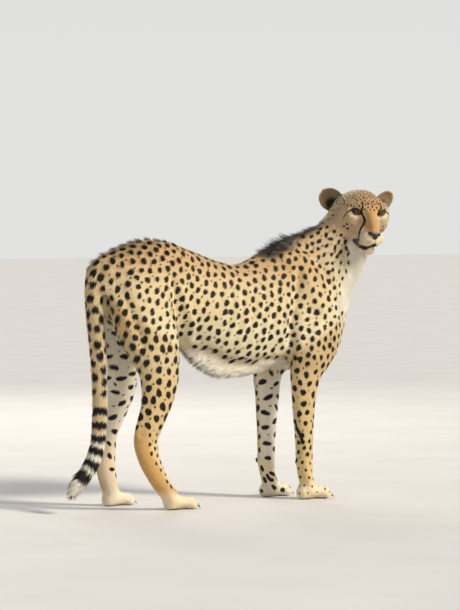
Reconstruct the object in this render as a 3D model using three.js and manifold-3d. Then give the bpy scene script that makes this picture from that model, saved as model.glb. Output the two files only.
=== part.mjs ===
// A cheetah standing with its head turned to its right, as a still life-size model.
// Millimetres. +X is the way the body faces, +Y the animal's left, +Z up.
// The whole outer form, out to the tips of the coat, is one smooth field of tubes and ellipsoids.
// Each node is polygonised from that field in its own region and parted from its neighbours by flat cuts.
import * as THREE from "three";
import { mergeVertices } from "three/addons/utils/BufferGeometryUtils.js";
import Module from "manifold-3d";

const wasm = await Module();
wasm.setup();

// ---------- driving dimensions ----------
const SHOULDER_HEIGHT = 770;
const RUMP_HEIGHT = 792;
const BACK_HEIGHT = 713;
const CHEST_FLOOR = 402;
const CHEST_HALF_WIDTH = 92;
const HIP_HALF_WIDTH = 92;
const RUMP_END = -452;
const CHEST_END = 462;
const GAP = 0.3;

const HEAD_AT = [479, -122, 868]; // the point midway between the pupils
const HEAD_TURN = 106; // degrees to the animal's right
const HEAD_NOD = 20; // degrees nose down
const HEAD_TILT = 2.7; // degrees, left eye lower
const EYE_SPREAD = 41;
const EYE_RADIUS = 16.5;
const EAR_HEIGHT = 73;
const EAR_HALF_WIDTH = 36;

// How wide each form runs into the one it grows from.
const BLEND = {
  neck: 40, shoulder: 22, throat: 24, fringe: 20, crest: 14, head: 22,
  leg: 26, tail: 24, paw: 14, toe: 5, pad: 6,
};

// ---------- vectors ----------
const vec = (a) => (a.isVector3 ? a.clone() : new THREE.Vector3(...a));
const degrees = (d) => (d * Math.PI) / 180;
const mix = (a, b, t) => a + (b - a) * t;

// Head frame: forward (towards the nose), left and up.
const headTurn = new THREE.Matrix4().makeRotationZ(-degrees(HEAD_TURN));
headTurn.multiply(new THREE.Matrix4().makeRotationY(degrees(HEAD_NOD)));
headTurn.multiply(new THREE.Matrix4().makeRotationX(-degrees(HEAD_TILT)));
const headMatrix = new THREE.Matrix4().makeTranslation(...HEAD_AT).multiply(headTurn);
const onHead = (f, l, u) => vec([f, l, u]).applyMatrix4(headMatrix);
const headAxes = [new THREE.Vector3(), new THREE.Vector3(), new THREE.Vector3()];
headTurn.extractBasis(...headAxes);

// ---------- the field: negative inside, near a distance in millimetres ----------
function boundedDistance(a, b, c, ra, rb, rc) {
  const k0 = Math.hypot(a / ra, b / rb, c / rc);
  const k1 = Math.hypot(a / (ra * ra), b / (rb * rb), c / (rc * rc));
  return k1 < 1e-9 ? -Math.min(ra, rb, rc) : (k0 * (k0 - 1)) / k1;
}

function smoothUnion(a, b, k) {
  const h = Math.max(k - Math.abs(a - b), 0) / k;
  return Math.min(a, b) - (h * h * k) / 4;
}

// Past this distance from its box a form no longer shapes the surface, and its box stands for it.
const REACH = 60;
function nearBox(box, field) {
  const { min, max } = box;
  return (x, y, z) => {
    const far = Math.max(min.x - x, x - max.x, min.y - y, y - max.y, min.z - z, z - max.z);
    return far > REACH ? far : field(x, y, z);
  };
}

// An ellipsoid with its axes along the given directions.
function ellipsoid(centre, radii, axes) {
  const [ax, ay, az] = axes || [vec([1, 0, 0]), vec([0, 1, 0]), vec([0, 0, 1])];
  const [ra, rb, rc] = radii;
  const c = vec(centre);
  const box = new THREE.Box3(c.clone(), c.clone()).expandByScalar(Math.max(...radii));
  return nearBox(box, (x, y, z) => {
    const dx = x - c.x;
    const dy = y - c.y;
    const dz = z - c.z;
    return boundedDistance(
      dx * ax.x + dy * ax.y + dz * ax.z,
      dx * ay.x + dy * ay.y + dz * ay.z,
      dx * az.x + dy * az.y + dz * az.z,
      ra, rb, rc,
    );
  });
}

const smoothPath = (points) => new THREE.CatmullRomCurve3(points, false, "centripetal");
const SPANS_PER_STATION = 5;

// The straight spans of a tube through stations { at, half: [across, deep] }.
function tubeSpans(stations, side) {
  const path = smoothPath(stations.map((s) => vec(s.at)));
  const sizes = smoothPath(stations.map((s) => vec([...s.half, 0])));
  const sideways = vec(side);
  const count = (stations.length - 1) * SPANS_PER_STATION;
  return Array.from({ length: count }, (_, i) => {
    const from = path.getPoint(i / count);
    const along = path.getPoint((i + 1) / count).sub(from);
    const length = along.length();
    along.divideScalar(length);
    const across = sideways.clone().addScaledVector(along, -sideways.dot(along)).normalize();
    const deep = along.clone().cross(across);
    const s0 = sizes.getPoint(i / count);
    const s1 = sizes.getPoint((i + 1) / count);
    return { from, along, length, across, deep, s0, s1 };
  });
}

// The nearness of a point to one straight span of a tube.
function spanDistance(span, x, y, z) {
  const { from, along, length, across, deep, s0, s1 } = span;
  const dx = x - from.x;
  const dy = y - from.y;
  const dz = z - from.z;
  const l = dx * along.x + dy * along.y + dz * along.z;
  const t = Math.min(Math.max(l / length, 0), 1);
  const a = dx * across.x + dy * across.y + dz * across.z;
  const b = dx * deep.x + dy * deep.y + dz * deep.z;
  const ra = mix(s0.x, s1.x, t);
  const rb = mix(s0.y, s1.y, t);
  return boundedDistance(a, b, l - t * length, ra, rb, Math.min(ra, rb));
}

// A tube of elliptical section, smooth along its length.
// across is the half size towards the side direction, deep the half size square to it and to the path.
function tube(stations, side = [0, 1, 0]) {
  const spans = tubeSpans(stations, side);
  const box = new THREE.Box3().setFromPoints(spans.map((s) => s.from));
  box.expandByPoint(vec(stations[stations.length - 1].at));
  box.expandByScalar(Math.max(...stations.flatMap((s) => s.half)));
  return nearBox(box, (x, y, z) => {
    let best = Infinity;
    for (const span of spans) best = Math.min(best, spanDistance(span, x, y, z));
    return best;
  });
}

const mirrored = (at, sideSign) => [at[0], at[1] * sideSign, at[2]];

// ---------- the body's forms ----------
// A station of the trunk: where it is along the body, its top and bottom, and its half width.
function section(x, top, bottom, halfWidth) {
  return { at: [x, 0, (top + bottom) / 2], half: [halfWidth, (top - bottom) / 2] };
}

const TRUNK = [
  section(RUMP_END + 44, 722, 612, 38),
  section(-383, 748, 565, 66),
  section(-330, 776, 525, 86),
  section(-262, RUMP_HEIGHT, 505, HIP_HALF_WIDTH),
  section(-190, RUMP_HEIGHT - 12, 505, 84),
  section(-115, BACK_HEIGHT + 38, 476, 78),
  section(-40, BACK_HEIGHT + 15, 436, 83),
  section(50, BACK_HEIGHT, CHEST_FLOOR, CHEST_HALF_WIDTH),
  section(130, BACK_HEIGHT + 12, CHEST_FLOOR - 4, CHEST_HALF_WIDTH + 2),
  section(215, SHOULDER_HEIGHT - 12, CHEST_FLOOR + 2, CHEST_HALF_WIDTH - 2),
  section(300, 745, 420, 84),
  section(375, 700, 452, 72),
  section(CHEST_END - 42, 650, 492, 54),
];

const NECK = [
  { at: [330, 0, 640], half: [84, 140] },
  { at: [392, -2, 712], half: [74, 118] },
  { at: [440, -12, 775], half: [66, 88] },
  { at: [474, -22, 832], half: [62, 78] },
  { at: [492, -28, 872], half: [56, 70] },
];
// The loose fur of the throat, from under the chin down to the chest.
const THROAT = [
  { at: [482, -76, 748], half: [34, 26] },
  { at: [470, -45, 700], half: [44, 32] },
  { at: [442, -20, 640], half: [50, 34] },
  { at: [428, -5, 575], half: [52, 36] },
];

// The crest of long hair on the nape and withers, and the fringe under the belly.
const CREST = [
  { at: [190, 0, 732], half: [20, 26] },
  { at: [250, 0, 770], half: [22, 32] },
  { at: [315, -1, 784], half: [24, 28] },
  { at: [385, -6, 808], half: [24, 25] },
];
const FRINGE = [
  { at: [-118, 0, 466], half: [20, 22] },
  { at: [-70, 0, 430], half: [24, 26] },
  { at: [-10, 0, 402], half: [26, 28] },
  { at: [60, 0, 392], half: [28, 24] },
  { at: [160, 0, 404], half: [30, 18] },
];

function foreShoulder(side) {
  return tube([
    { at: mirrored([212, 34, 722], side), half: [24, 46] },
    { at: mirrored([285, 56, 650], side), half: [34, 76] },
    { at: mirrored([345, 66, 565], side), half: [38, 84] },
    { at: mirrored([318, 74, 490], side), half: [38, 84] },
    { at: mirrored([280, 80, 430], side), half: [36, 70] },
  ]);
}

const FORE_RIGHT = [
  { at: [316, -74, 490], half: [38, 74] },
  { at: [275, -80, 425], half: [37, 66] },
  { at: [266, -79, 378], half: [34, 55] },
  { at: [264, -74, 320], half: [30, 43] },
  { at: [266, -69, 240], half: [27, 35] },
  { at: [271, -66, 170], half: [25, 29] },
  { at: [272, -65, 118], half: [26, 27] },
  { at: [276, -65, 72], half: [24, 23] },
  { at: [286, -65, 34], half: [26, 20] },
];
const FORE_LEFT = [
  { at: [300, 74, 490], half: [38, 80] },
  { at: [255, 80, 425], half: [37, 70] },
  { at: [240, 79, 370], half: [33, 50] },
  { at: [236, 74, 310], half: [29, 42] },
  { at: [230, 69, 230], half: [27, 36] },
  { at: [226, 66, 165], half: [25, 30] },
  { at: [224, 64, 118], half: [26, 28] },
  { at: [228, 62, 72], half: [24, 24] },
  { at: [240, 61, 34], half: [26, 20] },
];
const HIND_RIGHT = [
  { at: [-318, -52, 640], half: [42, 96] },
  { at: [-310, -60, 560], half: [46, 106] },
  { at: [-286, -74, 480], half: [44, 92] },
  { at: [-274, -84, 410], half: [38, 70] },
  { at: [-279, -88, 340], half: [32, 57] },
  { at: [-303, -88, 270], half: [27, 46] },
  { at: [-323, -87, 215], half: [24, 42] },
  { at: [-313, -86, 160], half: [23, 36] },
  { at: [-279, -85, 95], half: [24, 29] },
  { at: [-236, -84, 40], half: [26, 23] },
];
const HIND_LEFT = [
  { at: [-318, 52, 640], half: [42, 96] },
  { at: [-318, 62, 560], half: [46, 104] },
  { at: [-300, 76, 480], half: [44, 88] },
  { at: [-292, 88, 410], half: [38, 66] },
  { at: [-290, 98, 340], half: [32, 52] },
  { at: [-310, 106, 275], half: [27, 44] },
  { at: [-330, 110, 222], half: [24, 40] },
  { at: [-334, 112, 165], half: [23, 36] },
  { at: [-326, 114, 95], half: [24, 30] },
  { at: [-310, 115, 40], half: [27, 24] },
];
const TAIL = [
  { at: [-395, 0, 722], half: [34, 30] },
  { at: [-432, -3, 700], half: [34, 32] },
  { at: [-448, -8, 640], half: [30, 30] },
  { at: [-446, -10, 560], half: [28, 28] },
  { at: [-438, -10, 480], half: [27, 27] },
  { at: [-432, -10, 382], half: [25, 25] },
  { at: [-432, -10, 270], half: [24, 24] },
  { at: [-440, -12, 194], half: [24, 24] },
  { at: [-470, -15, 130], half: [25, 25] },
  { at: [-508, -19, 92], half: [24, 24] },
  { at: [-528, -22, 62], half: [17, 17] },
];

// ---------- head ----------
const knob = (f, l, u, radii) => ellipsoid(onHead(f, l, u), radii, headAxes);
// A ridge through stations [forward, left, up, half width, half depth] of the head frame.
function ridge(stations) {
  const placed = stations.map(([f, l, u, across, deep]) => ({ at: onHead(f, l, u), half: [across, deep] }));
  return tube(placed, headAxes[1]);
}

// The cheekbone, the cheek, the side of the jaw, the root of the ear and the brow over the eye.
// Each comes with its blend.
const sideOfHead = (l) => [
  [knob(-34, l * 52, -12, [30, 26, 32]), 12],
  [knob(-31, l * 50, -38, [36, 26, 38]), 16],
  [knob(-60, l * 52, -56, [36, 27, 40]), 18],
  [knob(-76, l * 56, -14, [30, 20, 34]), 16],
  [ridge([[-18, l * 50, 10, 12, 12], [-6, l * 34, 15, 14, 12], [-3, l * 16, 12, 13, 11]]), 14],
];

function headForm() {
  const skull = knob(-62, 0, -6, [66, 60, 54]);
  const parts = [
    [knob(-34, 0, -28, [38, 64, 54]), 16],
    [knob(-24, 0, 22, [30, 44, 25]), 14],
    ...sideOfHead(1),
    ...sideOfHead(-1),
    [ridge([[-6, 0, 8, 19, 13], [26, 0, -12, 17, 15], [52, 0, -28, 16, 13], [63, 0, -40, 14, 10]]), 9],
    [ridge([[-6, 0, -50, 38, 34], [28, 0, -65, 31, 34], [50, 0, -70, 27, 27]]), 12],
    [ridge([[-50, 0, -84, 42, 31], [0, 0, -98, 33, 26], [42, 0, -105, 23, 18]]), 9],
    [knob(49, 16, -65, [22, 21, 22]), 5],
    [knob(49, -16, -65, [22, 21, 22]), 5],
  ];
  return (x, y, z) =>
    parts.reduce((field, [part, blend]) => smoothUnion(field, part(x, y, z), blend), skull(x, y, z));
}

// ---------- paws ----------
// A paw at a place on the floor, pointing along a heading in degrees from +X towards +Y.
function pawFrame(at, heading) {
  const c = Math.cos(degrees(heading));
  const s = Math.sin(degrees(heading));
  return (f, l, u) => vec([at[0] + f * c - l * s, at[1] + f * s + l * c, u]);
}
const PAWS = {
  fore_right: { at: [290, -65], heading: -4, size: 1 },
  fore_left: { at: [240, 61], heading: 6, size: 1 },
  hind_right: { at: [-214, -84], heading: -2, size: 0.94 },
  hind_left: { at: [-300, 115], heading: 4, size: 0.94 },
};
// Each toe's place across the paw, in toe widths, and how far it reaches past the outer ones.
const TOES = [[-1.5, 0], [-0.5, 11], [0.5, 11], [1.5, 0]];
const TOE_WIDTH = 15;

function pawForm({ at, heading, size }) {
  const on = pawFrame(at, heading);
  const side = on(0, 1, 0).sub(on(0, 0, 0));
  const station = (f, l, u, across, deep) => ({
    at: on(f * size, l * size, u * size),
    half: [across * size, deep * size],
  });
  const palmStations = [station(-22, 0, 20, 22, 22), station(8, 0, 24, 27, 22), station(30, 0, 20, 28, 17)];
  const palm = tube(palmStations, side);
  const toes = TOES.map(([place, reach]) => {
    const l = place * TOE_WIDTH;
    const knuckle = station(36 + reach, l, 26, 9.5, 14);
    const tip = station(52 + reach, l * 1.06, 12, 9.5, 14);
    return tube([station(16, l * 0.8, 27, 9, 12), knuckle, tip], side);
  });
  return (x, y, z) => toes.reduce((field, toe) => smoothUnion(field, toe(x, y, z), BLEND.toe), palm(x, y, z));
}

// ---------- the whole ----------
const trunkTube = tube(TRUNK);
const head = headForm();
const torsoParts = [
  [tube(NECK), BLEND.neck],
  [foreShoulder(1), BLEND.shoulder],
  [foreShoulder(-1), BLEND.shoulder],
  [tube(THROAT), BLEND.throat],
  [tube(FRINGE), BLEND.fringe],
  [tube(CREST), BLEND.crest],
  [head, BLEND.head],
];
function torso(x, y, z) {
  const trunk = trunkTube(x, y, z);
  return torsoParts.reduce((field, [part, blend]) => smoothUnion(field, part(x, y, z), blend), trunk);
}

// A leg with its paw. A foreleg also has the pad behind its wrist and the toe of its dewclaw.
function legField(stations, paw, extras = []) {
  const limb = tube(stations);
  const foot = pawForm(paw);
  return (x, y, z) => {
    const field = smoothUnion(limb(x, y, z), foot(x, y, z), BLEND.paw);
    return extras.reduce((sum, part) => smoothUnion(sum, part(x, y, z), BLEND.pad), field);
  };
}
const wristPad = (x, y) => ellipsoid([x, y, 116], [14, 11, 14]);
function dewToe({ at, heading }) {
  return ellipsoid(pawFrame(at, heading)(-12, -Math.sign(at[1]) * 23, 64), [11, 7, 14]);
}
const legs = {
  fore_right: legField(FORE_RIGHT, PAWS.fore_right, [wristPad(252, -65), dewToe(PAWS.fore_right)]),
  fore_left: legField(FORE_LEFT, PAWS.fore_left, [wristPad(198, 64), dewToe(PAWS.fore_left)]),
  hind_right: legField(HIND_RIGHT, PAWS.hind_right),
  hind_left: legField(HIND_LEFT, PAWS.hind_left),
};
const tail = tube(TAIL);
const withLeg = (name) => (x, y, z) => smoothUnion(torso(x, y, z), legs[name](x, y, z), BLEND.leg);
function wholeBody(x, y, z) {
  const core = torso(x, y, z);
  const withTail = smoothUnion(core, tail(x, y, z), BLEND.tail);
  return Object.values(legs).reduce(
    (field, leg) => Math.min(field, smoothUnion(core, leg(x, y, z), BLEND.leg)),
    withTail,
  );
}

// ---------- from the field to a closed mesh ----------
const AXES = [[1, 0, 0], [0, 1, 0], [0, 0, 1]];
const CELL_CORNERS = [0, 1, 2, 3, 4, 5, 6, 7].map((c) => [c & 1, (c >> 1) & 1, (c >> 2) & 1]);
const CELL_EDGES = CELL_CORNERS.flatMap((_, a) =>
  [1, 2, 4].filter((bit) => !(a & bit)).map((bit) => [a, a | bit]));
const FACE_CORNERS = [[0, 0], [1, 0], [1, 1], [0, 1]];

function forEachCell([nx, ny, nz], visit) {
  for (let k = 0; k < nz - 1; k++)
    for (let j = 0; j < ny - 1; j++)
      for (let i = 0; i < nx - 1; i++) visit(i, j, k);
}

// The field's values on a grid, closed off along the grid's border.
function sampled(field, low, high, step) {
  const count = [0, 1, 2].map((k) => Math.ceil((high[k] - low[k]) / step[k]) + 1);
  const [nx, ny, nz] = count;
  const at = (i, j, k) => (k * ny + j) * nx + i;
  const place = (i, j, k) => [low[0] + i * step[0], low[1] + j * step[1], low[2] + k * step[2]];
  const onBorder = (i, j, k) => i * j * k === 0 || i === nx - 1 || j === ny - 1 || k === nz - 1;
  const value = new Float64Array(nx * ny * nz);
  forEachCell([nx + 1, ny + 1, nz + 1], (i, j, k) => {
    const v = field(...place(i, j, k));
    value[at(i, j, k)] = onBorder(i, j, k) ? Math.max(v, 1) : v;
  });
  const inBorderCell = (i, j, k) => onBorder(i, j, k) || i === nx - 2 || j === ny - 2 || k === nz - 2;
  return { value, count, at, place, inBorderCell };
}

// Where a grid face has inside and outside corners on its two diagonals, the mesh would fork.
// One more corner of such a face is filled.
function fillForks({ value, count, at }) {
  const insideCells = count.map((n) => n - 1);
  for (let forks = 1; forks > 0; ) {
    forks = 0;
    forEachCell(insideCells, (i, j, k) => {
      if (i * j * k === 0) return;
      AXES.forEach((u, n) => {
        const w = AXES[(n + 1) % 3];
        const corners = FACE_CORNERS.map(([a, b]) =>
          at(i + a * u[0] + b * w[0], j + a * u[1] + b * w[1], k + a * u[2] + b * w[2]));
        const inside = corners.map((c) => value[c] < 0);
        if (inside[0] !== inside[2] || inside[1] !== inside[3] || inside[0] === inside[1]) return;
        value[corners[inside[0] ? 1 : 0]] = -0.5;
        forks++;
      });
    });
  }
}

// The mean of the places where the surface crosses a cell's edges, or null for a cell it misses.
function crossingPoint({ value, at, place }, i, j, k) {
  const v = CELL_CORNERS.map(([a, b, c]) => value[at(i + a, j + b, k + c)]);
  const crossed = CELL_EDGES.filter(([a, b]) => v[a] < 0 !== v[b] < 0);
  if (crossed.length === 0) return null;
  const sum = vec([0, 0, 0]);
  for (const [a, b] of crossed) {
    const t = v[a] / (v[a] - v[b]);
    const [di, dj, dk] = CELL_CORNERS[a].map((from, axis) => mix(from, CELL_CORNERS[b][axis], t));
    sum.add(vec(place(i + di, j + dj, k + dk)));
  }
  return sum.divideScalar(crossed.length);
}

// One vertex in each grid cell that the surface crosses, and one quad for each crossed grid edge.
function polygonise(field, low, high, step, target) {
  const grid = sampled(field, low, high, step);
  fillForks(grid);
  const { value, count, at } = grid;
  const vertices = [];
  const vertexOf = new Map();
  const furthest = Math.min(...step) * 0.45;
  forEachCell(count, (i, j, k) => {
    const point = crossingPoint(grid, i, j, k);
    if (!point) return;
    vertexOf.set(at(i, j, k), vertices.length);
    vertices.push(grid.inBorderCell(i, j, k) ? point : settle(field, point, furthest));
  });
  const triangles = [];
  forEachCell(count, (i, j, k) => {
    AXES.forEach((axis, n) => {
      const inside = value[at(i, j, k)] < 0;
      if (inside === value[at(i + axis[0], j + axis[1], k + axis[2])] < 0) return;
      const u = AXES[(n + 1) % 3];
      const w = AXES[(n + 2) % 3];
      const around = FACE_CORNERS.map(([a, b]) =>
        vertexOf.get(at(i - a * u[0] - b * w[0], j - a * u[1] - b * w[1], k - a * u[2] - b * w[2])));
      const [p, q, r, s] = inside ? around : around.reverse();
      const first = vertices[p].distanceTo(vertices[r]) < vertices[q].distanceTo(vertices[s]);
      triangles.push(...(first ? [p, q, r, p, r, s] : [p, q, s, q, r, s]));
    });
  });
  return simplified(vertices, triangles, target);
}

// Moves a point onto the surface, by no more than a limit.
function settle(field, start, limit) {
  const p = start.clone();
  const h = 0.5;
  for (let round = 0; round < 3; round++) {
    const f = field(p.x, p.y, p.z);
    const slope = vec([
      field(p.x + h, p.y, p.z) - field(p.x - h, p.y, p.z),
      field(p.x, p.y + h, p.z) - field(p.x, p.y - h, p.z),
      field(p.x, p.y, p.z + h) - field(p.x, p.y, p.z - h),
    ]).divideScalar(2 * h);
    const steep = slope.lengthSq();
    if (steep < 0.01) break;
    p.addScaledVector(slope, -f / steep);
  }
  const moved = p.clone().sub(start);
  return moved.length() > limit ? start.addScaledVector(moved.normalize(), limit) : p;
}

// The squared distance to the plane of a face, times its area, as one symmetric 4 by 4 form.
function planeForm(a, b, c) {
  const n = b.clone().sub(a).cross(c.clone().sub(a));
  const area = n.length();
  if (area > 0) n.divideScalar(area);
  const plane = [n.x, n.y, n.z, -n.dot(a)];
  return plane.flatMap((p) => plane.map((q) => p * q * area));
}
const addForms = (first, second) => first.map((w, i) => w + second[i]);
function formError(form, p) {
  const v = [p.x, p.y, p.z, 1];
  return form.reduce((sum, w, i) => sum + w * v[i >> 2] * v[i & 3], 0);
}

// A closed mesh whose edges can be collapsed one by one.
class Mesh {
  constructor(vertices, triangles) {
    this.vertices = vertices;
    this.faces = [];
    this.facesAt = vertices.map(() => new Set());
    this.forms = vertices.map(() => new Array(16).fill(0));
    this.ages = vertices.map(() => 0);
    for (let t = 0; t < triangles.length; t += 3) this.addFace(triangles.slice(t, t + 3));
  }
  addFace(face) {
    const form = planeForm(...face.map((v) => this.vertices[v]));
    for (const v of face) {
      this.facesAt[v].add(this.faces.length);
      this.forms[v] = addForms(this.forms[v], form);
    }
    this.faces.push(face);
  }
  neighbours(v) {
    return new Set([...this.facesAt[v]].flatMap((f) => this.faces[f]).filter((w) => w !== v));
  }
  // What it takes to bring two joined vertices together, at the best of three places.
  collapse(a, b) {
    const form = addForms(this.forms[a], this.forms[b]);
    const middle = this.vertices[a].clone().lerp(this.vertices[b], 0.5);
    const choices = [middle, this.vertices[a].clone(), this.vertices[b].clone()];
    const errors = choices.map((place) => formError(form, place));
    const error = Math.min(...errors);
    const length = this.vertices[a].distanceToSquared(this.vertices[b]);
    const cost = error + 1e-4 * length * length;
    return { a, b, place: choices[errors.indexOf(error)], form, cost, age: [this.ages[a], this.ages[b]] };
  }
  isOld({ a, b, age }) {
    const gone = this.facesAt[a].size === 0 || this.facesAt[b].size === 0;
    return gone || age[0] !== this.ages[a] || age[1] !== this.ages[b];
  }
  // Whether moving a vertex turns one of its faces too far round.
  folds(moving, other, place) {
    return [...this.facesAt[moving]].some((f) => {
      if (this.faces[f].includes(other)) return false;
      const before = this.faces[f].map((v) => this.vertices[v]);
      const after = this.faces[f].map((v) => (v === moving ? place : this.vertices[v]));
      const [n, m] = [before, after].map(([p, q, r]) => q.clone().sub(p).cross(r.clone().sub(p)).normalize());
      return n.dot(m) < 0.35;
    });
  }
  // Whether bringing the two together keeps the surface closed and unfolded.
  allows({ a, b, place }) {
    const around = this.neighbours(b);
    const shared = [...this.neighbours(a)].filter((v) => around.has(v));
    return shared.length === 2 && !this.folds(a, b, place) && !this.folds(b, a, place);
  }
  apply({ a, b, place, form }) {
    for (const f of [...this.facesAt[b]]) {
      if (this.facesAt[a].has(f)) {
        this.faces[f].forEach((v) => this.facesAt[v].delete(f));
        this.faces[f] = null;
      } else {
        this.faces[f] = this.faces[f].map((v) => (v === b ? a : v));
        this.facesAt[a].add(f);
      }
    }
    this.facesAt[b].clear();
    this.vertices[a] = place;
    this.forms[a] = form;
    this.ages[a]++;
  }
}

// Collapses the edges that change the form least, until about the target number of triangles is left.
function simplified(vertices, triangles, target) {
  const mesh = new Mesh(vertices, triangles);
  const heap = new Heap((p, q) => p.cost - q.cost);
  const offer = (a, b) => heap.push(mesh.collapse(a, b));
  vertices.forEach((_, v) => mesh.neighbours(v).forEach((w) => v < w && offer(v, w)));
  let left = mesh.faces.length;
  while (left > target && heap.size() > 0) {
    const best = heap.pop();
    if (mesh.isOld(best) || !mesh.allows(best)) continue;
    mesh.apply(best);
    left -= 2;
    mesh.neighbours(best.a).forEach((v) => offer(best.a, v));
  }
  return solidFrom(mesh.vertices, mesh.faces.filter((face) => face).flat());
}

// A queue that gives back its least item first.
class Heap {
  constructor(order) {
    this.order = order;
    this.items = [];
  }
  size() {
    return this.items.length;
  }
  push(item) {
    let i = this.items.push(item) - 1;
    while (i > 0) {
      const up = (i - 1) >> 1;
      if (this.order(this.items[up], item) <= 0) break;
      this.items[i] = this.items[up];
      i = up;
    }
    this.items[i] = item;
  }
  pop() {
    const top = this.items[0];
    const item = this.items.pop();
    const n = this.items.length;
    if (n === 0) return top;
    let i = 0;
    for (let down = 1; down < n; down = 2 * i + 1) {
      if (down + 1 < n && this.order(this.items[down + 1], this.items[down]) < 0) down++;
      if (this.order(item, this.items[down]) <= 0) break;
      this.items[i] = this.items[down];
      i = down;
    }
    this.items[i] = item;
    return top;
  }
}

function solidFrom(vertices, triangles) {
  const used = [...new Set(triangles)];
  const place = new Map(used.map((v, i) => [v, i]));
  const vertProperties = new Float32Array(used.flatMap((v) => vertices[v].toArray()));
  const triVerts = new Uint32Array(triangles.map((v) => place.get(v)));
  return new wasm.Manifold(new wasm.Mesh({ numProp: 3, vertProperties, triVerts }));
}

function solidOf(geometry) {
  const bare = geometry.index ? geometry.toNonIndexed() : geometry.clone();
  bare.deleteAttribute("normal");
  bare.deleteAttribute("uv");
  const merged = mergeVertices(bare, 1e-4);
  const vertProperties = merged.attributes.position.array;
  const triVerts = new Uint32Array(merged.index.array);
  return new wasm.Manifold(new wasm.Mesh({ numProp: 3, vertProperties, triVerts }));
}

// The solid turned to face outwards.
function facingOut(vertices, triangles) {
  const solid = solidFrom(vertices, triangles);
  if (solid.volume() > 0) return solid;
  const turned = triangles.map((_, i) => triangles[i % 3 === 0 ? i : i % 3 === 1 ? i + 1 : i - 1]);
  return solidFrom(vertices, turned);
}

// The mesh of a solid as points and a list of corners.
function meshOf(solid) {
  const { numProp, vertProperties, triVerts, numVert } = solid.getMesh();
  const points = Array.from({ length: numVert }, (_, i) =>
    vec([...vertProperties.subarray(i * numProp, i * numProp + 3)]));
  return { points, corners: [...triVerts] };
}

// The solid with each vertex moved out along its normal.
function grown(solid, distance) {
  const { points, corners } = meshOf(solid);
  const normals = points.map(() => new THREE.Vector3());
  for (let t = 0; t < corners.length; t += 3) {
    const [a, b, c] = corners.slice(t, t + 3);
    const n = points[b].clone().sub(points[a]).cross(points[c].clone().sub(points[a]));
    for (const v of [a, b, c]) normals[v].add(n);
  }
  const moved = points.map((point, i) => point.addScaledVector(normals[i].normalize(), distance));
  return solidFrom(moved, corners);
}

// ---------- cuts ----------
const FAR = 3000;
// The half space on the side of a plane that its normal points to, starting a distance past the plane.
function halfSpace({ at, normal }, past) {
  const box = new THREE.BoxGeometry(FAR, FAR, FAR).translate(0, 0, FAR / 2 + past);
  box.applyQuaternion(new THREE.Quaternion().setFromUnitVectors(vec([0, 0, 1]), vec(normal).normalize()));
  return solidOf(box.translate(...vec(at)));
}
const zone = (planes, past) => planes.map((plane) => halfSpace(plane, past)).reduce((a, b) => a.intersect(b));
const cut = (solid, planes) => solid.intersect(zone(planes, GAP / 2));
const without = (solid, planes) => solid.subtract(zone(planes, -GAP / 2));
const reversed = ({ at, normal }) => ({ at, normal: normal.map((n) => -n) });
const level = (height, up) => ({ at: [0, 0, height], normal: [0, 0, up] });
const upright = (x, along) => ({ at: [x, 0, 0], normal: [along, 0, 0] });
const outward = (side, y) => ({ at: [0, side * y, 0], normal: [0, side, 0] });

const ELBOW_LEVEL = 384;
const WRIST_LEVEL = 122;
const KNEE_LEVEL = 400;
const HOCK_LEVEL = 200;
const FLOOR = level(0, 1);
const neckRoot = { at: [230, 0, 780], normal: [0.59, 0, 0.807] };
const headRoot = { at: onHead(0, 0, -122), normal: [0.45, -0.35, 0.82] };
const thighRoot = { at: [-165, 0, 440], normal: [-0.548, 0, -0.837] };
const armRoot = { at: [190, 0, 440], normal: [0.49, 0, -0.872] };
const armZone = (side) => [armRoot, upright(185, 1), outward(side, 38)];
const thighZone = (side) => [thighRoot, upright(-165, -1), outward(side, 0)];
const tailRoot = { at: [-432, 0, 700], normal: [-0.75, 0, -0.66] };
const tailZone = [tailRoot, upright(-414, -1), outward(1, -44), outward(-1, -44)];
const tailCuts = [level(500, -1), level(290, -1), { at: [-470, -15, 130], normal: [-0.8, 0, -0.6] }];

// ---------- nodes ----------
const group = new THREE.Group();
const COAT = { color: 0xc89a5a, roughness: 0.85, metalness: 0 };
const EYE = { color: 0x9a5a18, roughness: 0.08, metalness: 0 };
const NOSE = { color: 0x171312, roughness: 0.4, metalness: 0 };
const CLAW = { color: 0x3a322a, roughness: 0.45, metalness: 0 };
const SIDES = [[1, "left"], [-1, "right"]];

function addNode(name, solid, look = COAT) {
  const { points, corners } = meshOf(solid);
  const geometry = new THREE.BufferGeometry().setFromPoints(points).setIndex(corners);
  const mesh = new THREE.Mesh(geometry, new THREE.MeshStandardMaterial(look));
  mesh.name = name;
  group.add(mesh);
}

function addTrunk() {
  const whole = polygonise(wholeBody, [-500, -150, 340], [520, 150, 840], [24, 18, 20], 1270);
  let trunk = cut(whole, [reversed(neckRoot)]);
  for (const [side] of SIDES) trunk = without(trunk, armZone(side));
  trunk = without(trunk, thighZone(1).slice(0, 2));
  trunk = without(trunk, [level(ELBOW_LEVEL, -1), upright(150, 1)]);
  addNode("trunk", without(trunk, tailZone));
}

function addNeck() {
  const neck = polygonise(torso, [150, -140, 480], [640, 140, 980], [18, 16, 18], 400);
  addNode("neck", cut(neck, [neckRoot, reversed(headRoot)]));
}

function eyeball(side, radius) {
  const ball = new THREE.SphereGeometry(radius, 10, 7).translate(2 - EYE_RADIUS, side * (EYE_SPREAD - 2), 0);
  return solidOf(ball.applyMatrix4(headMatrix));
}

function nosePad() {
  const pad = new THREE.SphereGeometry(1, 12, 8).scale(14, 19, 13).translate(60, 0, -49);
  return solidOf(pad.applyMatrix4(headMatrix));
}

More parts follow.
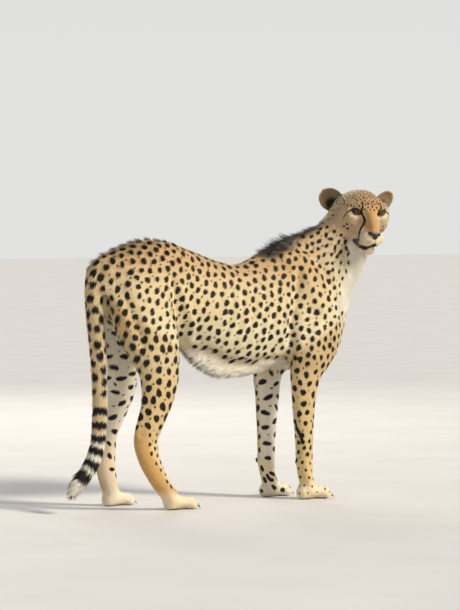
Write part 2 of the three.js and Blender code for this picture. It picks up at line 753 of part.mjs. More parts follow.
function addHead() {
  const body = polygonise(torso, [340, -260, 700], [640, 110, 980], [7, 7, 7], 1900);
  const bodyGrown = grown(body, GAP);
  let skull = cut(body, [headRoot]);
  for (const [side, hand] of SIDES) {
    skull = skull.subtract(eyeball(side, EYE_RADIUS + GAP));
    addNode("eye_" + hand, eyeball(side, EYE_RADIUS), EYE);
    addNode("ear_" + hand, ear(side).subtract(bodyGrown));
  }
  addNode("head", skull);
  addNode("nose", nosePad().subtract(bodyGrown), NOSE);
}

// The faces of a sheet with two sides, each a grid of rows and columns, closed along its four edges.
function sheetFaces(rows, columns) {
  const triangles = [];
  const at = (back, row, column) => (back * (rows + 1) + row) * (columns + 1) + column;
  const quad = (a, b, c, d) => triangles.push(a, b, c, a, c, d);
  for (let r = 0; r < rows; r++)
    for (let c = 0; c < columns; c++) {
      quad(at(0, r, c), at(0, r, c + 1), at(0, r + 1, c + 1), at(0, r + 1, c));
      quad(at(1, r, c), at(1, r + 1, c), at(1, r + 1, c + 1), at(1, r, c + 1));
    }
  for (let r = 0; r < rows; r++) {
    quad(at(0, r, 0), at(0, r + 1, 0), at(1, r + 1, 0), at(1, r, 0));
    quad(at(0, r, columns), at(1, r, columns), at(1, r + 1, columns), at(0, r + 1, columns));
  }
  for (let c = 0; c < columns; c++) {
    quad(at(0, 0, c), at(1, 0, c), at(1, 0, c + 1), at(0, 0, c + 1));
    quad(at(0, rows, c), at(0, rows, c + 1), at(1, rows, c + 1), at(1, rows, c));
  }
  return triangles;
}

// A cupped leaf that stands on the side of the head: rows from base to tip, columns from rim to rim.
function ear(side) {
  const base = onHead(-97, side * 63, -23);
  const up = onHead(-0.2, side * 0.68, 0.6).sub(onHead(0, 0, 0)).normalize();
  const facing = onHead(0.9, side * 0.35, -0.1).sub(onHead(0, 0, 0));
  facing.addScaledVector(up, -facing.dot(up)).normalize();
  const across = up.clone().cross(facing);
  const ROWS = 6;
  const COLUMNS = 6;
  const WIDEST = 0.45;
  const vertices = [];
  for (const back of [0, 1])
    for (let row = 0; row <= ROWS; row++)
      for (let column = 0; column <= COLUMNS; column++) {
        const v = (row / ROWS) * 0.97;
        const u = (column / COLUMNS) * 2 - 1;
        const above = (v - WIDEST) / (1 - WIDEST);
        const share = above < 0 ? mix(0.92, 1, v / WIDEST) : Math.sqrt(1 - above ** 2);
        const cup = 15 * (1 - u * u) * (1 - 0.6 * v);
        const thickness = back * mix(9, 5, v) * (1 - 0.35 * u * u);
        const point = base.clone().addScaledVector(up, v * EAR_HEIGHT);
        point.addScaledVector(across, u * share * EAR_HALF_WIDTH).addScaledVector(facing, -cup - thickness);
        vertices.push(point);
      }
  return facingOut(vertices, sheetFaces(ROWS, COLUMNS));
}

// A claw leaves the toe's tip forwards and curves down: rings of [forward, up, radius] from root to tip.
const CLAW_RINGS = [[-6, 15, 4], [9, 14, 3.2], [18, 4.5, 0.8]];
const CLAW_SIDES = 5;
const CLAW_FLATNESS = 0.7;
function claw(on, reach, l, size) {
  const vertices = [];
  for (const [f, u, radius] of CLAW_RINGS)
    for (let i = 0; i < CLAW_SIDES; i++) {
      const turn = (i / CLAW_SIDES) * 2 * Math.PI;
      const sideways = l + radius * CLAW_FLATNESS * Math.cos(turn);
      vertices.push(on((f + reach) * size, sideways, u * size + radius * Math.sin(turn)));
    }
  const triangles = [];
  const at = (ring, i) => ring * CLAW_SIDES + (i % CLAW_SIDES);
  const end = CLAW_RINGS.length - 1;
  for (let ring = 0; ring < end; ring++)
    for (let i = 0; i < CLAW_SIDES; i++) {
      triangles.push(at(ring, i), at(ring + 1, i), at(ring + 1, i + 1));
      triangles.push(at(ring, i), at(ring + 1, i + 1), at(ring, i + 1));
    }
  for (let i = 1; i < CLAW_SIDES - 1; i++) {
    triangles.push(at(0, 0), at(0, i), at(0, i + 1));
    triangles.push(at(end, 0), at(end, i + 1), at(end, i));
  }
  return facingOut(vertices, triangles);
}

// The dewclaw hangs from its toe on the inner side of the foreleg.
function addDewclaw({ at, heading }, footGrown, name) {
  const inner = -Math.sign(at[1]);
  const on = (f, l, u) => pawFrame(at, heading)(-8 + f, inner * 21 + l, 50 + u);
  addNode("dewclaw_" + name, claw(on, -2, 0, 1).subtract(footGrown), CLAW);
}

// The four toe claws of a paw, each outside the grown solid of the paw.
function addClaws({ at, heading, size }, footGrown, name) {
  const on = pawFrame(at, heading);
  TOES.forEach(([place, reach], i) => {
    const solid = claw(on, 56 + reach, place * 1.06 * TOE_WIDTH * size, size);
    addNode(`claw_${name}_${i + 1}`, solid.subtract(footGrown), CLAW);
  });
}

function addForeleg(side, hand) {
  const [near, far] = [-40, 190].map((y) => y * side).sort((a, b) => a - b);
  const leg = legs["fore_" + hand];
  const arm = polygonise(withLeg("fore_" + hand), [130, near, 340], [470, far, 620], [16, 12, 16], 410);
  addNode("upper_arm_" + hand, cut(arm, [...armZone(side), level(ELBOW_LEVEL, 1)]));
  const forearm = polygonise(leg, [130, near, 80], [400, far, 420], [11, 10, 18], 330);
  addNode("forearm_" + hand, cut(forearm, [level(ELBOW_LEVEL, -1), level(WRIST_LEVEL, 1)]));
  const foot = polygonise(leg, [150, near, -20], [440, far, 150], [7.5, 7, 7.5], 470);
  addNode("forefoot_" + hand, cut(foot, [level(WRIST_LEVEL, -1), FLOOR]));
  addClaws(PAWS["fore_" + hand], grown(foot, GAP), "fore_" + hand);
  addDewclaw(PAWS["fore_" + hand], grown(foot, GAP), hand);
}

function addHindleg(side, hand) {
  const [near, far] = [-40, 190].map((y) => y * side).sort((a, b) => a - b);
  const leg = legs["hind_" + hand];
  const thigh = polygonise(withLeg("hind_" + hand), [-500, near, 360], [-100, far, 680], [18, 14, 18], 460);
  addNode("thigh_" + hand, without(cut(thigh, [...thighZone(side), level(KNEE_LEVEL, 1)]), tailZone));
  const shank = polygonise(leg, [-460, near, 160], [-140, far, 440], [12, 10, 16], 330);
  addNode("shank_" + hand, cut(shank, [level(KNEE_LEVEL, -1), level(HOCK_LEVEL, 1)]));
  const foot = polygonise(leg, [-420, near, -20], [-90, far, 230], [8, 7.5, 9], 520);
  addNode("hindfoot_" + hand, cut(foot, [level(HOCK_LEVEL, -1), FLOOR]));
  addClaws(PAWS["hind_" + hand], grown(foot, GAP), "hind_" + hand);
}

function addTail() {
  const body = polygonise(tail, [-600, -70, 10], [-370, 60, 780], [10, 10, 14], 480);
  addNode("tail_base", cut(body, [tailRoot, tailZone[1], reversed(tailCuts[0])]));
  addNode("tail_middle", cut(body, [tailCuts[0], reversed(tailCuts[1])]));
  addNode("tail_lower", cut(body, [tailCuts[1], reversed(tailCuts[2])]));
  addNode("tail_tip", cut(body, [tailCuts[2]]));
}

addTrunk();
addNeck();
addHead();
for (const [side, hand] of SIDES) {
  addForeleg(side, hand);
  addHindleg(side, hand);
}
addTail();

// The part stands on the floor with the middle of its box over the origin.
const bounds = new THREE.Box3().setFromObject(group);
const middle = bounds.getCenter(new THREE.Vector3());
group.position.set(-middle.x, -middle.y, -bounds.min.z);

export default group;
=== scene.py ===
"""A standing cheetah: one skin under a coat of solid tufts, with its own eyes, nose, claws and whiskers.

The row frame is in metres. Places on the body are in the CAD source's own millimetres, from in_body().
Places on the head are in millimetres forward, left and up of the point between the pupils, from in_head().
In formulas x, y, z is a place on the body, and f, l, u is one on the head.
"""

import math

import bmesh
import bpy
import numpy as np
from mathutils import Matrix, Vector
from mathutils.bvhtree import BVHTree
from mathutils.kdtree import KDTree


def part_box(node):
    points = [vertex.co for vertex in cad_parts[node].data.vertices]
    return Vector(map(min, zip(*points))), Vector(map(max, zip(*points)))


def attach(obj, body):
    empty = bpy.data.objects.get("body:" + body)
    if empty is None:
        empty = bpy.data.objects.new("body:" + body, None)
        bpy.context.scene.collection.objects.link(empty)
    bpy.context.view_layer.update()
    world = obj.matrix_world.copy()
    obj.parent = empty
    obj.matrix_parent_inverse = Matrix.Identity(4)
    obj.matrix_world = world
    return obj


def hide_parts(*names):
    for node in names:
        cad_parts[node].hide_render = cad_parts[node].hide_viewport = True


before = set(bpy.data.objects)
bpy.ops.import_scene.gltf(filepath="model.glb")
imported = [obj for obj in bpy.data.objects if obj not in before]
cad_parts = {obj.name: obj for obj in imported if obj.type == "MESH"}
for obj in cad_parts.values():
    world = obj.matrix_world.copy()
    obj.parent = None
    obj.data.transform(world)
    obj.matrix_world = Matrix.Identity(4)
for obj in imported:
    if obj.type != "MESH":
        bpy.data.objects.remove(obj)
bpy.context.view_layer.update()
RANDOM = np.random.default_rng(20)
MM = 0.001
FAR = 30.0  # mm, a distance that stands for none near
BOTH = (1, -1)  # the left side and the right

# ---------- frames ----------
HEAD_TURN = 106  # degrees to the animal's right
HEAD_NOD = 20
HEAD_TILT = 2.7
HEAD_PLACE = np.array([479, -122, 868])  # the point between the pupils, in the CAD source's millimetres
EYE_DEPTH = 14.5  # the eyeball's centre behind the pupil
EYE_RADIUS = 16.5
NOSE_PLACE = np.array([60.0, 0, -50])  # on the head, mm


def turned(axis, degrees):
    """The rotation matrix about one axis, as numpy."""
    c, s = math.cos(math.radians(degrees)), math.sin(math.radians(degrees))
    i, j = {"x": (1, 2), "y": (2, 0), "z": (0, 1)}[axis]
    made = np.eye(3)
    made[i, i] = made[j, j] = c
    made[i, j], made[j, i] = -s, s
    return made


def middle(node):
    low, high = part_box(node)
    return np.array((low + high) / 2)


HEAD_AXES = turned("z", -HEAD_TURN) @ turned("y", HEAD_NOD) @ turned("x", -HEAD_TILT)
BETWEEN_EYES = (middle("eye_left") + middle("eye_right")) / 2
HEAD_ORIGIN = BETWEEN_EYES + HEAD_AXES[:, 0] * EYE_DEPTH * MM
BODY_ORIGIN = HEAD_ORIGIN - HEAD_PLACE * MM


def from_head(points):
    """Places on the head as points of the row frame."""
    return HEAD_ORIGIN + points @ HEAD_AXES.T * MM


def in_head(points):
    """Points of the row frame as places on the head."""
    return (points - HEAD_ORIGIN) @ HEAD_AXES / MM


def in_body(points):
    """Points of the row frame as places on the body."""
    return (points - BODY_ORIGIN) / MM


# ---------- small tools ----------
def ramp(low, high, value):
    """From 0 at low to 1 at high, easing in and out, and level beyond them."""
    t = np.clip((value - low) / (high - low), 0, 1)
    return t * t * (3 - 2 * t)


def bell(value, width):
    """1 where the value is 0, and next to nothing beyond twice the width."""
    return np.exp(-((value / width) ** 2))


def unit(vectors):
    return vectors / np.maximum(np.linalg.norm(vectors, axis=-1, keepdims=True), 1e-12)


def gap_from(points, place):
    return np.linalg.norm(points - place, axis=1)


def along_surface(vectors, normals):
    """Vectors without their share along the normals."""
    return vectors - normals * (vectors * normals).sum(axis=1, keepdims=True)


def mix(a, b, share):
    """From a at share 0 to b at share 1, for colours or numbers along the points."""
    share = np.asarray(share)
    if np.ndim(a) > np.ndim(share) or np.ndim(b) > np.ndim(share):
        share = share[..., None]
    return a + (b - a) * share


def layered(first, table, count):
    """A row of numbers at each point: the first, then each of the table's laid over it by its share."""
    values = np.tile(np.array(first), (count, 1))
    for where, row in table:
        values = mix(values, np.array(row, float), np.clip(where, 0, 1))
    return values


def measured(points, near, rule, far=FAR):
    """What a rule gives for the points that are near, and a far distance for the others."""
    out = np.full(len(points), far)
    out[near] = rule(points[near])
    return out


def linear(r, g, b):
    """A colour given as it looks on a screen, 0 to 255, as linear light."""
    c = np.array([r, g, b]) / 255
    return np.where(c < 0.04045, c / 12.92, ((c + 0.055) / 1.055) ** 2.4)


def distance_to_path(points, path):
    """Each point's distance to a path of straight stretches, and how far along it that is, 0 to 1."""
    path = np.array(path, float)
    path = path[np.concatenate([[True], np.linalg.norm(np.diff(path, axis=0), axis=1) > 1e-6])]
    best = np.full(len(points), 1e9)
    along = np.zeros(len(points))
    lengths = np.linalg.norm(np.diff(path, axis=0), axis=1)
    starts = np.concatenate([[0], np.cumsum(lengths)])
    for i, length in enumerate(lengths):
        step = (path[i + 1] - path[i]) / length
        t = np.clip((points - path[i]) @ step, 0, length)
        gap = np.linalg.norm(points - path[i] - t[:, None] * step, axis=1)
        nearer = gap < best
        best[nearer] = gap[nearer]
        along[nearer] = (starts[i] + t[nearer]) / starts[-1]
    return best, along


def kd_tree(points):
    tree = KDTree(len(points))
    for i, p in enumerate(points):
        tree.insert(p, i)
    tree.balance()
    return tree


def read(rows, field, width, kind=float):
    """One field of a mesh's vertices, edges, faces or corners as an array."""
    found = np.empty(len(rows) * width, kind)
    rows.foreach_get(field, found)
    return found.reshape(-1, width) if width > 1 else found


def coords(mesh):
    return read(mesh.vertices, "co", 3)


def edges_of(mesh):
    return read(mesh.edges, "vertices", 2, np.int32)


def set_coords(mesh, points):
    mesh.vertices.foreach_set("co", np.ascontiguousarray(points, float).ravel())
    mesh.update()


def edited(mesh, change):
    """A mesh after a function has changed it through bmesh."""
    made = bmesh.new()
    made.from_mesh(mesh)
    change(made)
    made.to_mesh(mesh)
    made.free()
    return mesh


def neighbour_mean(values, edges):
    """The mean of each vertex's neighbours, for one number or several at each vertex."""
    flat = values.reshape(len(values), -1)
    count = np.bincount(edges.ravel(), minlength=len(values))
    total = np.empty_like(flat)
    for k in range(flat.shape[1]):
        total[:, k] = np.bincount(edges[:, 0], flat[edges[:, 1], k], len(values))
        total[:, k] += np.bincount(edges[:, 1], flat[edges[:, 0], k], len(values))
    return (total / np.maximum(count, 1)[:, None]).reshape(values.shape)


def spread(values, edges, rounds):
    """Values evened out over the surface."""
    for _ in range(rounds):
        values = values * 0.5 + neighbour_mean(values, edges) * 0.5
    return values


def faired(points, edges, rounds, weight):
    """Points evened out without shrinking, by a weight at each one."""
    for _ in range(rounds):
        for step in (0.52, -0.54):
            points = points + step * weight[:, None] * (neighbour_mean(points, edges) - points)
    return points


def new_object(name, mesh, material, replaces=()):
    piece = bpy.data.objects.new(name, mesh)
    bpy.context.scene.collection.objects.link(piece)
    mesh.materials.append(material)
    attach(piece, "root")
    if replaces:
        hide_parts(*replaces)


def set_attribute(mesh, name, values, kind="FLOAT_COLOR"):
    """Stores one number, colour or vector at each vertex."""
    field = {"FLOAT": "value", "FLOAT_VECTOR": "vector", "FLOAT_COLOR": "color"}[kind]
    if kind == "FLOAT_COLOR":
        values = np.column_stack([values, np.ones(len(values))])
    layer = mesh.attributes.new(name, kind, "POINT")
    layer.data.foreach_set(field, values.astype(np.float32).ravel())


def set_bake_map(mesh, flat):
    layer = mesh.uv_layers.new(name="OFBake")
    layer.data.foreach_set("uv", flat.astype(np.float32).ravel())


# ---------- the skin's shape ----------
VOXEL = 0.0067  # m
FAIRING_ROUNDS = 45
PAW_MARGIN = 0.01  # m
SNAP_REACH = 0.008  # m, to the solids' own surface
HEAD_BALL = ([-35, 0, -40], 112)  # round the head: its middle on the head, and its radius
FACE_BALL = ([10, 0, -40], 92)
EYE_BALL = 27  # the radius round each eye
CLAWS = [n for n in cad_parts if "claw" in n]
EARS = ["ear_left", "ear_right"]
EYES = ["eye_left", "eye_right"]
FLESH = sorted(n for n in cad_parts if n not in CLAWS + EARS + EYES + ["nose"])
PAWS = ("forefoot", "hindfoot")
CLAWS_OF = {
    f"{kind}foot_{side}": [f"claw_{kind}_{side}_{k}" for k in (1, 2, 3, 4)]
    for kind in ("fore", "hind") for side in ("left", "right")
}
EYE_SPREAD = 39  # each eyeball to the side of the middle
UPPER_LID = (9.6, 16.3)  # the lids' edges are arcs: how far the centre is across the opening, and the radius
LOWER_LID = (8.4, 15.9)
LID_REACH = 44  # from the eyeball's centre to where the lids have run out
LID_THICKNESS = 1.7
EYE_SINK = 3.2  # of the skin behind the eyeball's surface
EAR_ROWS = 22
EAR_HEIGHT = 73
EAR_HALF_WIDTH = 36
EAR_INSET = 1.0  # of the skin from the hair's tips
OPENING_OUTWARD = 20  # degrees that the opening between the lids faces outward
OPENING_TILT = 16  # degrees that its outer corner stands higher
# The tail's dark rings: each one's middle from the tail's end, and half its width, mm.
RINGS = [(52, 18), (97, 14), (140, 12), (181, 11.5), (221, 11), (260, 10.5)]


def joined_nodes(names):
    """One mesh of several CAD nodes, each closed again."""

    def join(made):
        for name in names:
            made.from_mesh(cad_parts[name].data)
        bmesh.ops.remove_doubles(made, verts=made.verts, dist=1e-6)

    return edited(bpy.data.meshes.new("joined"), join)


def remeshed(mesh):
    """The outside of a mesh as even squares."""
    holder = bpy.data.objects.new("holder", mesh)
    bpy.context.scene.collection.objects.link(holder)
    modifier = holder.modifiers.new("voxels", "REMESH")
    modifier.mode = "VOXEL"
    modifier.voxel_size = VOXEL
    graph = bpy.context.evaluated_depsgraph_get()
    made = bpy.data.meshes.new_from_object(holder.evaluated_get(graph))
    bpy.data.objects.remove(holder)
    return made


def outermost(mesh):
    """Drops everything but the largest connected surface."""
    edges = edges_of(mesh)
    group = np.arange(len(mesh.vertices))
    before = None
    while before is None or (group != before).any():
        before = group.copy()
        lowest = np.minimum(group[edges[:, 0]], group[edges[:, 1]])
        np.minimum.at(group, edges[:, 0], lowest)
        np.minimum.at(group, edges[:, 1], lowest)
        group = group[group]
    others = np.flatnonzero(group != np.bincount(group).argmax())

    def drop(made):
        made.verts.ensure_lookup_table()
        bmesh.ops.delete(made, geom=[made.verts[i] for i in others], context="VERTS")

    return edited(mesh, drop)


def refined(mesh, chosen):
    """Splits the faces whose middle a rule chooses into four."""

    def split(made):
        mask = chosen(np.array([f.calc_center_median() for f in made.faces]))
        edges = dict.fromkeys(e for f, wanted in zip(made.faces, mask) if wanted for e in f.edges)
        bmesh.ops.subdivide_edges(made, edges=list(edges), cuts=1, use_grid_fill=True)

    return edited(mesh, split)


def surface_tree(names):
    """A search tree over some CAD nodes, with the node's number for each of its faces."""
    points, faces, node_of = [], [], []
    for index, name in enumerate(names):
        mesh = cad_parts[name].data
        start = len(points)
        points += [v.co.copy() for v in mesh.vertices]
        faces += [[start + v for v in p.vertices] for p in mesh.polygons]
        node_of += [index] * len(mesh.polygons)
    return BVHTree.FromPolygons(points, faces), np.array(node_of)


def snapped(points, tree):
    """Points moved onto the CAD's surface where it is within reach."""
    out = points.copy()
    for i, p in enumerate(points):
        place = tree.find_nearest(p, SNAP_REACH)[0]
        if place is not None:
            out[i] = place
    return out


def eye_centre(side):
    return np.array([-EYE_DEPTH, side * EYE_SPREAD, 0.0])


def refine_head_and_paws(mesh, tree):
    """Smaller faces on the paws and head, smaller still on the face and smallest round the eyes."""
    paw_boxes = [np.array(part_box(n)) + [[-PAW_MARGIN], [PAW_MARGIN]] for n in FLESH if n.startswith(PAWS)]

    def on_head_or_paws(c):
        on_paws = np.any([((c > low) & (c < high)).all(axis=1) for low, high in paw_boxes], axis=0)
        return on_paws | (gap_from(in_head(c), HEAD_BALL[0]) < HEAD_BALL[1])

    def on_face(c):
        p = in_head(c)
        return (p[:, 0] > -45) & (gap_from(p, FACE_BALL[0]) < FACE_BALL[1])

    def near_eyes(c):
        return np.any([gap_from(in_head(c), eye_centre(side)) < EYE_BALL for side in BOTH], axis=0)

    for chosen in (on_head_or_paws, on_face):
        refined(mesh, chosen)
        points = coords(mesh)
        picked = chosen(points)
        moved = points.copy()
        moved[picked] = snapped(points[picked], tree)
        set_coords(mesh, faired(moved, edges_of(mesh), 5, spread(picked.astype(float), edges_of(mesh), 3)))
    refined(mesh, near_eyes)


def ear_rows():
    """Each row's height as a share of the ear's, set closer where the rim rounds over the tip."""
    t = np.linspace(0, 1, EAR_ROWS + 1)
    return np.where(t < 0.36, 0.45 * t / 0.36, 0.45 + 0.55 * np.sin(np.clip(t - 0.36, 0, 1) / 0.64 * 1.545))


def ear_axes(side):
    """The middle of an ear's base on the head, and the ways that are up, across and ahead of it."""
    base = np.array([-97, side * 63, -23.0])
    up = unit(np.array([-0.2, side * 0.68, 0.6]))
    facing = np.array([0.9, side * 0.35, -0.1])
    facing = unit(facing - up * (facing @ up))
    return base, up, np.cross(up, facing), facing


def ear_leaf(side):
    """The ear as rows of points: the inner face and then the back, from base to tip and rim to rim."""
    base, up, across, facing = ear_axes(side)
    v = ear_rows()[:, None]
    u = np.linspace(-1, 1, EAR_ROWS + 1)[None, :]
    above = np.clip((v - 0.45) / 0.55, 0, 1)
    share = np.where(v < 0.45, 0.86 + 0.14 * np.sin(v / 0.45 * math.pi / 2), np.sqrt(1 - above**2))
    cup = 15 * (1 - u * u) * (1 - 0.6 * v)
    sheets = []
    for back in (0, 1):
        thickness = back * (9 - 4 * v - 1.2 * EAR_INSET) * (1 - 0.35 * u * u) + (1 - back) * 0.6 * EAR_INSET
        rise = v * (EAR_HEIGHT - EAR_INSET)
        point = base + rise[..., None] * up + (u * share)[..., None] * (EAR_HALF_WIDTH - EAR_INSET) * across
        point[..., 1] -= side * 10 * np.clip(1 - v / 0.35, 0, 1) * u * u
        sheets.append(point - (cup + thickness)[..., None] * facing)
    return np.array(sheets).reshape(-1, 3)


def ear_faces():
    n = EAR_ROWS

    def square(*corners):
        return [(back * (n + 1) + row) * (n + 1) + column for back, row, column in corners]

    faces = []
    for r in range(n):
        for c in range(n):
            faces.append(square((0, r, c), (0, r, c + 1), (0, r + 1, c + 1), (0, r + 1, c)))
            faces.append(square((1, r, c), (1, r + 1, c), (1, r + 1, c + 1), (1, r, c + 1)))
        faces.append(square((0, r, 0), (0, r + 1, 0), (1, r + 1, 0), (1, r, 0)))
        faces.append(square((0, r, n), (1, r, n), (1, r + 1, n), (0, r + 1, n)))
    for c in range(n):
        faces.append(square((0, 0, c), (1, 0, c), (1, 0, c + 1), (0, 0, c + 1)))
        faces.append(square((0, n, c), (0, n, c + 1), (1, n, c + 1), (1, n, c)))
    return faces


class Skin:
    """The skin's mesh, with the node that each vertex belongs to."""

    def __init__(self):
        nodes = FLESH + EYES + ["nose"]
        tree, node_of = surface_tree(nodes)
        mesh = outermost(remeshed(joined_nodes(nodes)))

        def labels():
            return node_of[[tree.find_nearest(p)[2] for p in coords(mesh)]]

        plain = [i for i, n in enumerate(nodes) if not n.startswith(PAWS + ("head",))]
        body = spread(np.isin(labels(), plain).astype(float), edges_of(mesh), 3)
        set_coords(mesh, faired(coords(mesh), edges_of(mesh), FAIRING_ROUNDS, body))
        refine_head_and_paws(mesh, tree)
        self.mesh = mesh
        self.names = nodes + EARS
        self.count = len(mesh.vertices)
        body_label = labels()
        for side in BOTH:
            self.add_ear(side)
        ear_label = np.repeat([len(nodes), len(nodes) + 1], 2 * (EAR_ROWS + 1) ** 2)
        self.label = np.concatenate([body_label, ear_label])
        self.edges = edges_of(mesh)
        self.move(coords(mesh))

    def add_ear(self, side):
        def build(made):
            verts = [made.verts.new(p) for p in from_head(ear_leaf(side))]
            faces = [made.faces.new([verts[i] for i in face]) for face in ear_faces()]
            bmesh.ops.recalc_face_normals(made, faces=faces)

        edited(self.mesh, build)

    def on(self, name):
        return self.label == self.names.index(name)

    def share(self, start, rounds):
        """1 on the nodes whose name begins so, 0 elsewhere, with a soft edge."""
        chosen = [i for i, n in enumerate(self.names) if n.startswith(start)]
        return spread(np.isin(self.label, chosen).astype(float), self.edges, rounds)

    def move(self, points):
        set_coords(self.mesh, points)
        self.points = coords(self.mesh)
        self.normals = read(self.mesh.vertex_normals, "vector", 3)

    def sink(self, depth):
        """Moves each vertex inward by its depth in mm."""
        self.move(self.points - self.normals * (depth * MM)[:, None])

    def press(self, in_place, path, radius, depth):
        """Presses a groove, or raises a ridge where the depth is below 0, along a path and its mirror."""
        p = in_place(self.points)
        total = np.zeros(len(p))
        for side in BOTH:
            gap, _ = distance_to_path(p, np.array(path) * [1, side, 1])
            total = np.maximum(total, bell(gap, radius))
        self.sink(total * depth)

    def press_leg(self, node, path, radius, depth):
        """Presses a hollow into both flat sides of one leg, along a path of x and z."""
        mine = self.on(node)
        gap, _ = distance_to_path(in_body(self.points[mine])[:, [0, 2]], path)
        share = np.zeros(len(mine))
        share[mine] = bell(gap, radius) * ramp(0.3, 0.8, np.abs(self.normals[mine, 1]))
        self.sink(spread(share, self.edges, 2) * depth)


# ---------- the head's carving ----------
def lid_opening(q, side):
    """Signed distance in mm to the almond between the lids, negative inside.

    The points are given from the eye's centre. With the distance come each point's places along and across
    the opening, and the two axes they are measured on.
    """
    turn = math.radians(OPENING_OUTWARD)
    ahead = np.array([math.cos(turn), side * math.sin(turn), 0])
    out = np.array([-math.sin(turn), side * math.cos(turn), 0])
    tilt = math.radians(OPENING_TILT)
    a_axis = out * math.cos(tilt) + np.array([0, 0, math.sin(tilt)])
    b_axis = np.cross(ahead, a_axis) * side
    a, b, c = q @ a_axis, q @ b_axis, q @ ahead
    top = np.hypot(a, b + UPPER_LID[0]) - UPPER_LID[1]
    bottom = np.hypot(a, b - LOWER_LID[0]) - LOWER_LID[1]
    inner = np.clip(-a - 9, 0, None)  # the inner corner runs on towards the nose as a narrow duct
    sd = np.maximum(top, bottom) - 0.35 * inner
    return np.where(c > 0, sd, 40.0), a, b, a_axis, b_axis


def carve_eyes(skin):
    p = in_head(skin.points)
    for side in BOTH:
        centre = eye_centre(side)
        q = p - centre
        near = np.linalg.norm(q, axis=1) < LID_REACH
        sd, a, b, a_axis, b_axis = lid_opening(q, side)
        edge = near & (np.abs(sd) < 0.7)
        from_arc = b[edge] + np.where(b[edge] > 0, UPPER_LID[0], -LOWER_LID[0])
        grad = unit(np.stack([a[edge], from_arc], axis=1))
        q[edge] -= (0.7 * sd[edge])[:, None] * (grad[:, :1] * a_axis + grad[:, 1:] * b_axis)
        sd, a, b, _, _ = lid_opening(q, side)
        radius = np.linalg.norm(q, axis=1)
        lid = EYE_RADIUS + LID_THICKNESS + 0.9 * bell(sd - 2.2, 1.6)
        crease = 1.5 * bell(sd - 5.6, 1.1) * ramp(-1, 4, b)
        bag = 1.0 * bell(sd - 4.6, 1.0) * ramp(1, -4, b)
        outside = mix(lid - crease - bag, radius, ramp(4.5, 15, sd))
        target = mix(EYE_RADIUS - EYE_SINK, outside, ramp(-0.9, 0.25, sd))
        use = near & (sd < 15)
        q[use] *= (target[use] / np.maximum(radius[use], 1e-6))[:, None]
        p = centre + q
    skin.move(from_head(p))


# The mouth's line from the middle of the muzzle to its left corner, on the head, with half its black's width.
LIP = [(75, 0, -78), (73, 3, -82), (66, 8, -89), (55, 15, -96), (39, 23, -101), (23, 29, -102), (13, 33, -98),
       (7, 35, -91)]
LIP_HALF = (4.4, 6.6)


def folded(points):
    """Points of the head mirrored onto its left half."""
    return np.stack([points[:, 0], np.abs(points[:, 1]), points[:, 2]], axis=1)


def lip_gap(p):
    """Distance in mm from the black of the lips, negative on it, for points on the head."""

    def gap_to_lips(q):
        gap, along = distance_to_path(folded(q), LIP)
        return gap - mix(*LIP_HALF, along)

    return measured(p, gap_from(p, [40, 0, -80]) < 75, gap_to_lips, 50.0)


# Each fold's path on the left of the head, its radius and its depth, below 0 for a ridge.
FACE_FOLDS = [
    ([(-4, 54, 14), (0, 42, 20), (4, 30, 17)], 7, -3.0),  # brow
    ([(-2, 33, 28), (-30, 20, 46)], 9, 1.0),  # hollow above the brow
    ([(10, 17, -2), (26, 16, -16), (40, 15, -30)], 5, 1.4),  # side of the nose's bridge
    ([(8, 22, -14), (17, 24, -34)], 5, 1.0),  # beneath the inner corner
    ([(-4, 50, -22), (-16, 62, -22)], 9, -1.6),  # cheekbone
    ([(75, 0, -63), (75, 0, -79)], 2.2, 3.0),  # under the nose
    (LIP, 3.2, 4.0),
    ([(68, 5, -95), (54, 14, -104), (38, 21, -109), (22, 26, -110)], 3.6, -1.8),  # lower lip
    ([(70, 8, -73), (58, 17, -78), (44, 24, -86)], 6, -1.8),  # whisker pad's lower edge
    ([(28, 31, -62), (26, 30, -80), (15, 32, -92)], 6, 1.2),  # behind the whisker pad
]
for row in range(4):  # the whiskers' rows
    FACE_FOLDS.append(([(64 - 2 * row, 18, -60 - 6 * row), (38, 29 + row, -62 - 6 * row)], 1.0, 0.6))


# ---------- the body's carving ----------
# Each fold's path on the left of the body, its radius and its depth, below 0 for a ridge.
BODY_FOLDS = [
    ([(-222, 90, 668), (-222, 90, 640), (-210, 86, 590), (-190, 74, 545), (-176, 62, 505)], 14, 8),  # flank
    ([(-190, 84, 640), (-168, 76, 590), (-142, 66, 552), (-134, 54, 520), (-128, 40, 488)], 13, -4),
    ([(244, 80, 700), (238, 84, 675), (227, 87, 621), (216, 91, 568)], 15, 7),  # behind the shoulder
    ([(214, 90, 560), (208, 86, 512), (206, 83, 461), (212, 72, 425)], 12, 10),  # behind the elbow
    ([(208, 62, 735), (262, 88, 680), (300, 99, 600), (342, 106, 540)], 26, -4),  # shoulder blade
    ([(318, 74, 722), (356, 90, 640), (390, 88, 560)], 18, 6),  # before the shoulder
    ([(292, 112, 520), (262, 108, 445)], 30, -3),  # upper arm
    ([(250, 92, 560), (232, 96, 490)], 16, -3),
    ([(-207, 52, 765)], 24, -5),  # hip
    ([(-425, 44, 712)], 20, -4),  # point of the rump
    ([(-395, 62, 650), (-372, 92, 570), (-345, 104, 490)], 16, 6),  # back of the thigh
    ([(-262, 104, 620), (-240, 110, 540)], 34, -3),  # front of the thigh
]
for rib in range(6):
    x = -62 + 40 * rib
    BODY_FOLDS.append(([(x + 22, 82, 640), (x + 4, 92, 560), (x - 16, 84, 480)], 10, 2.2))
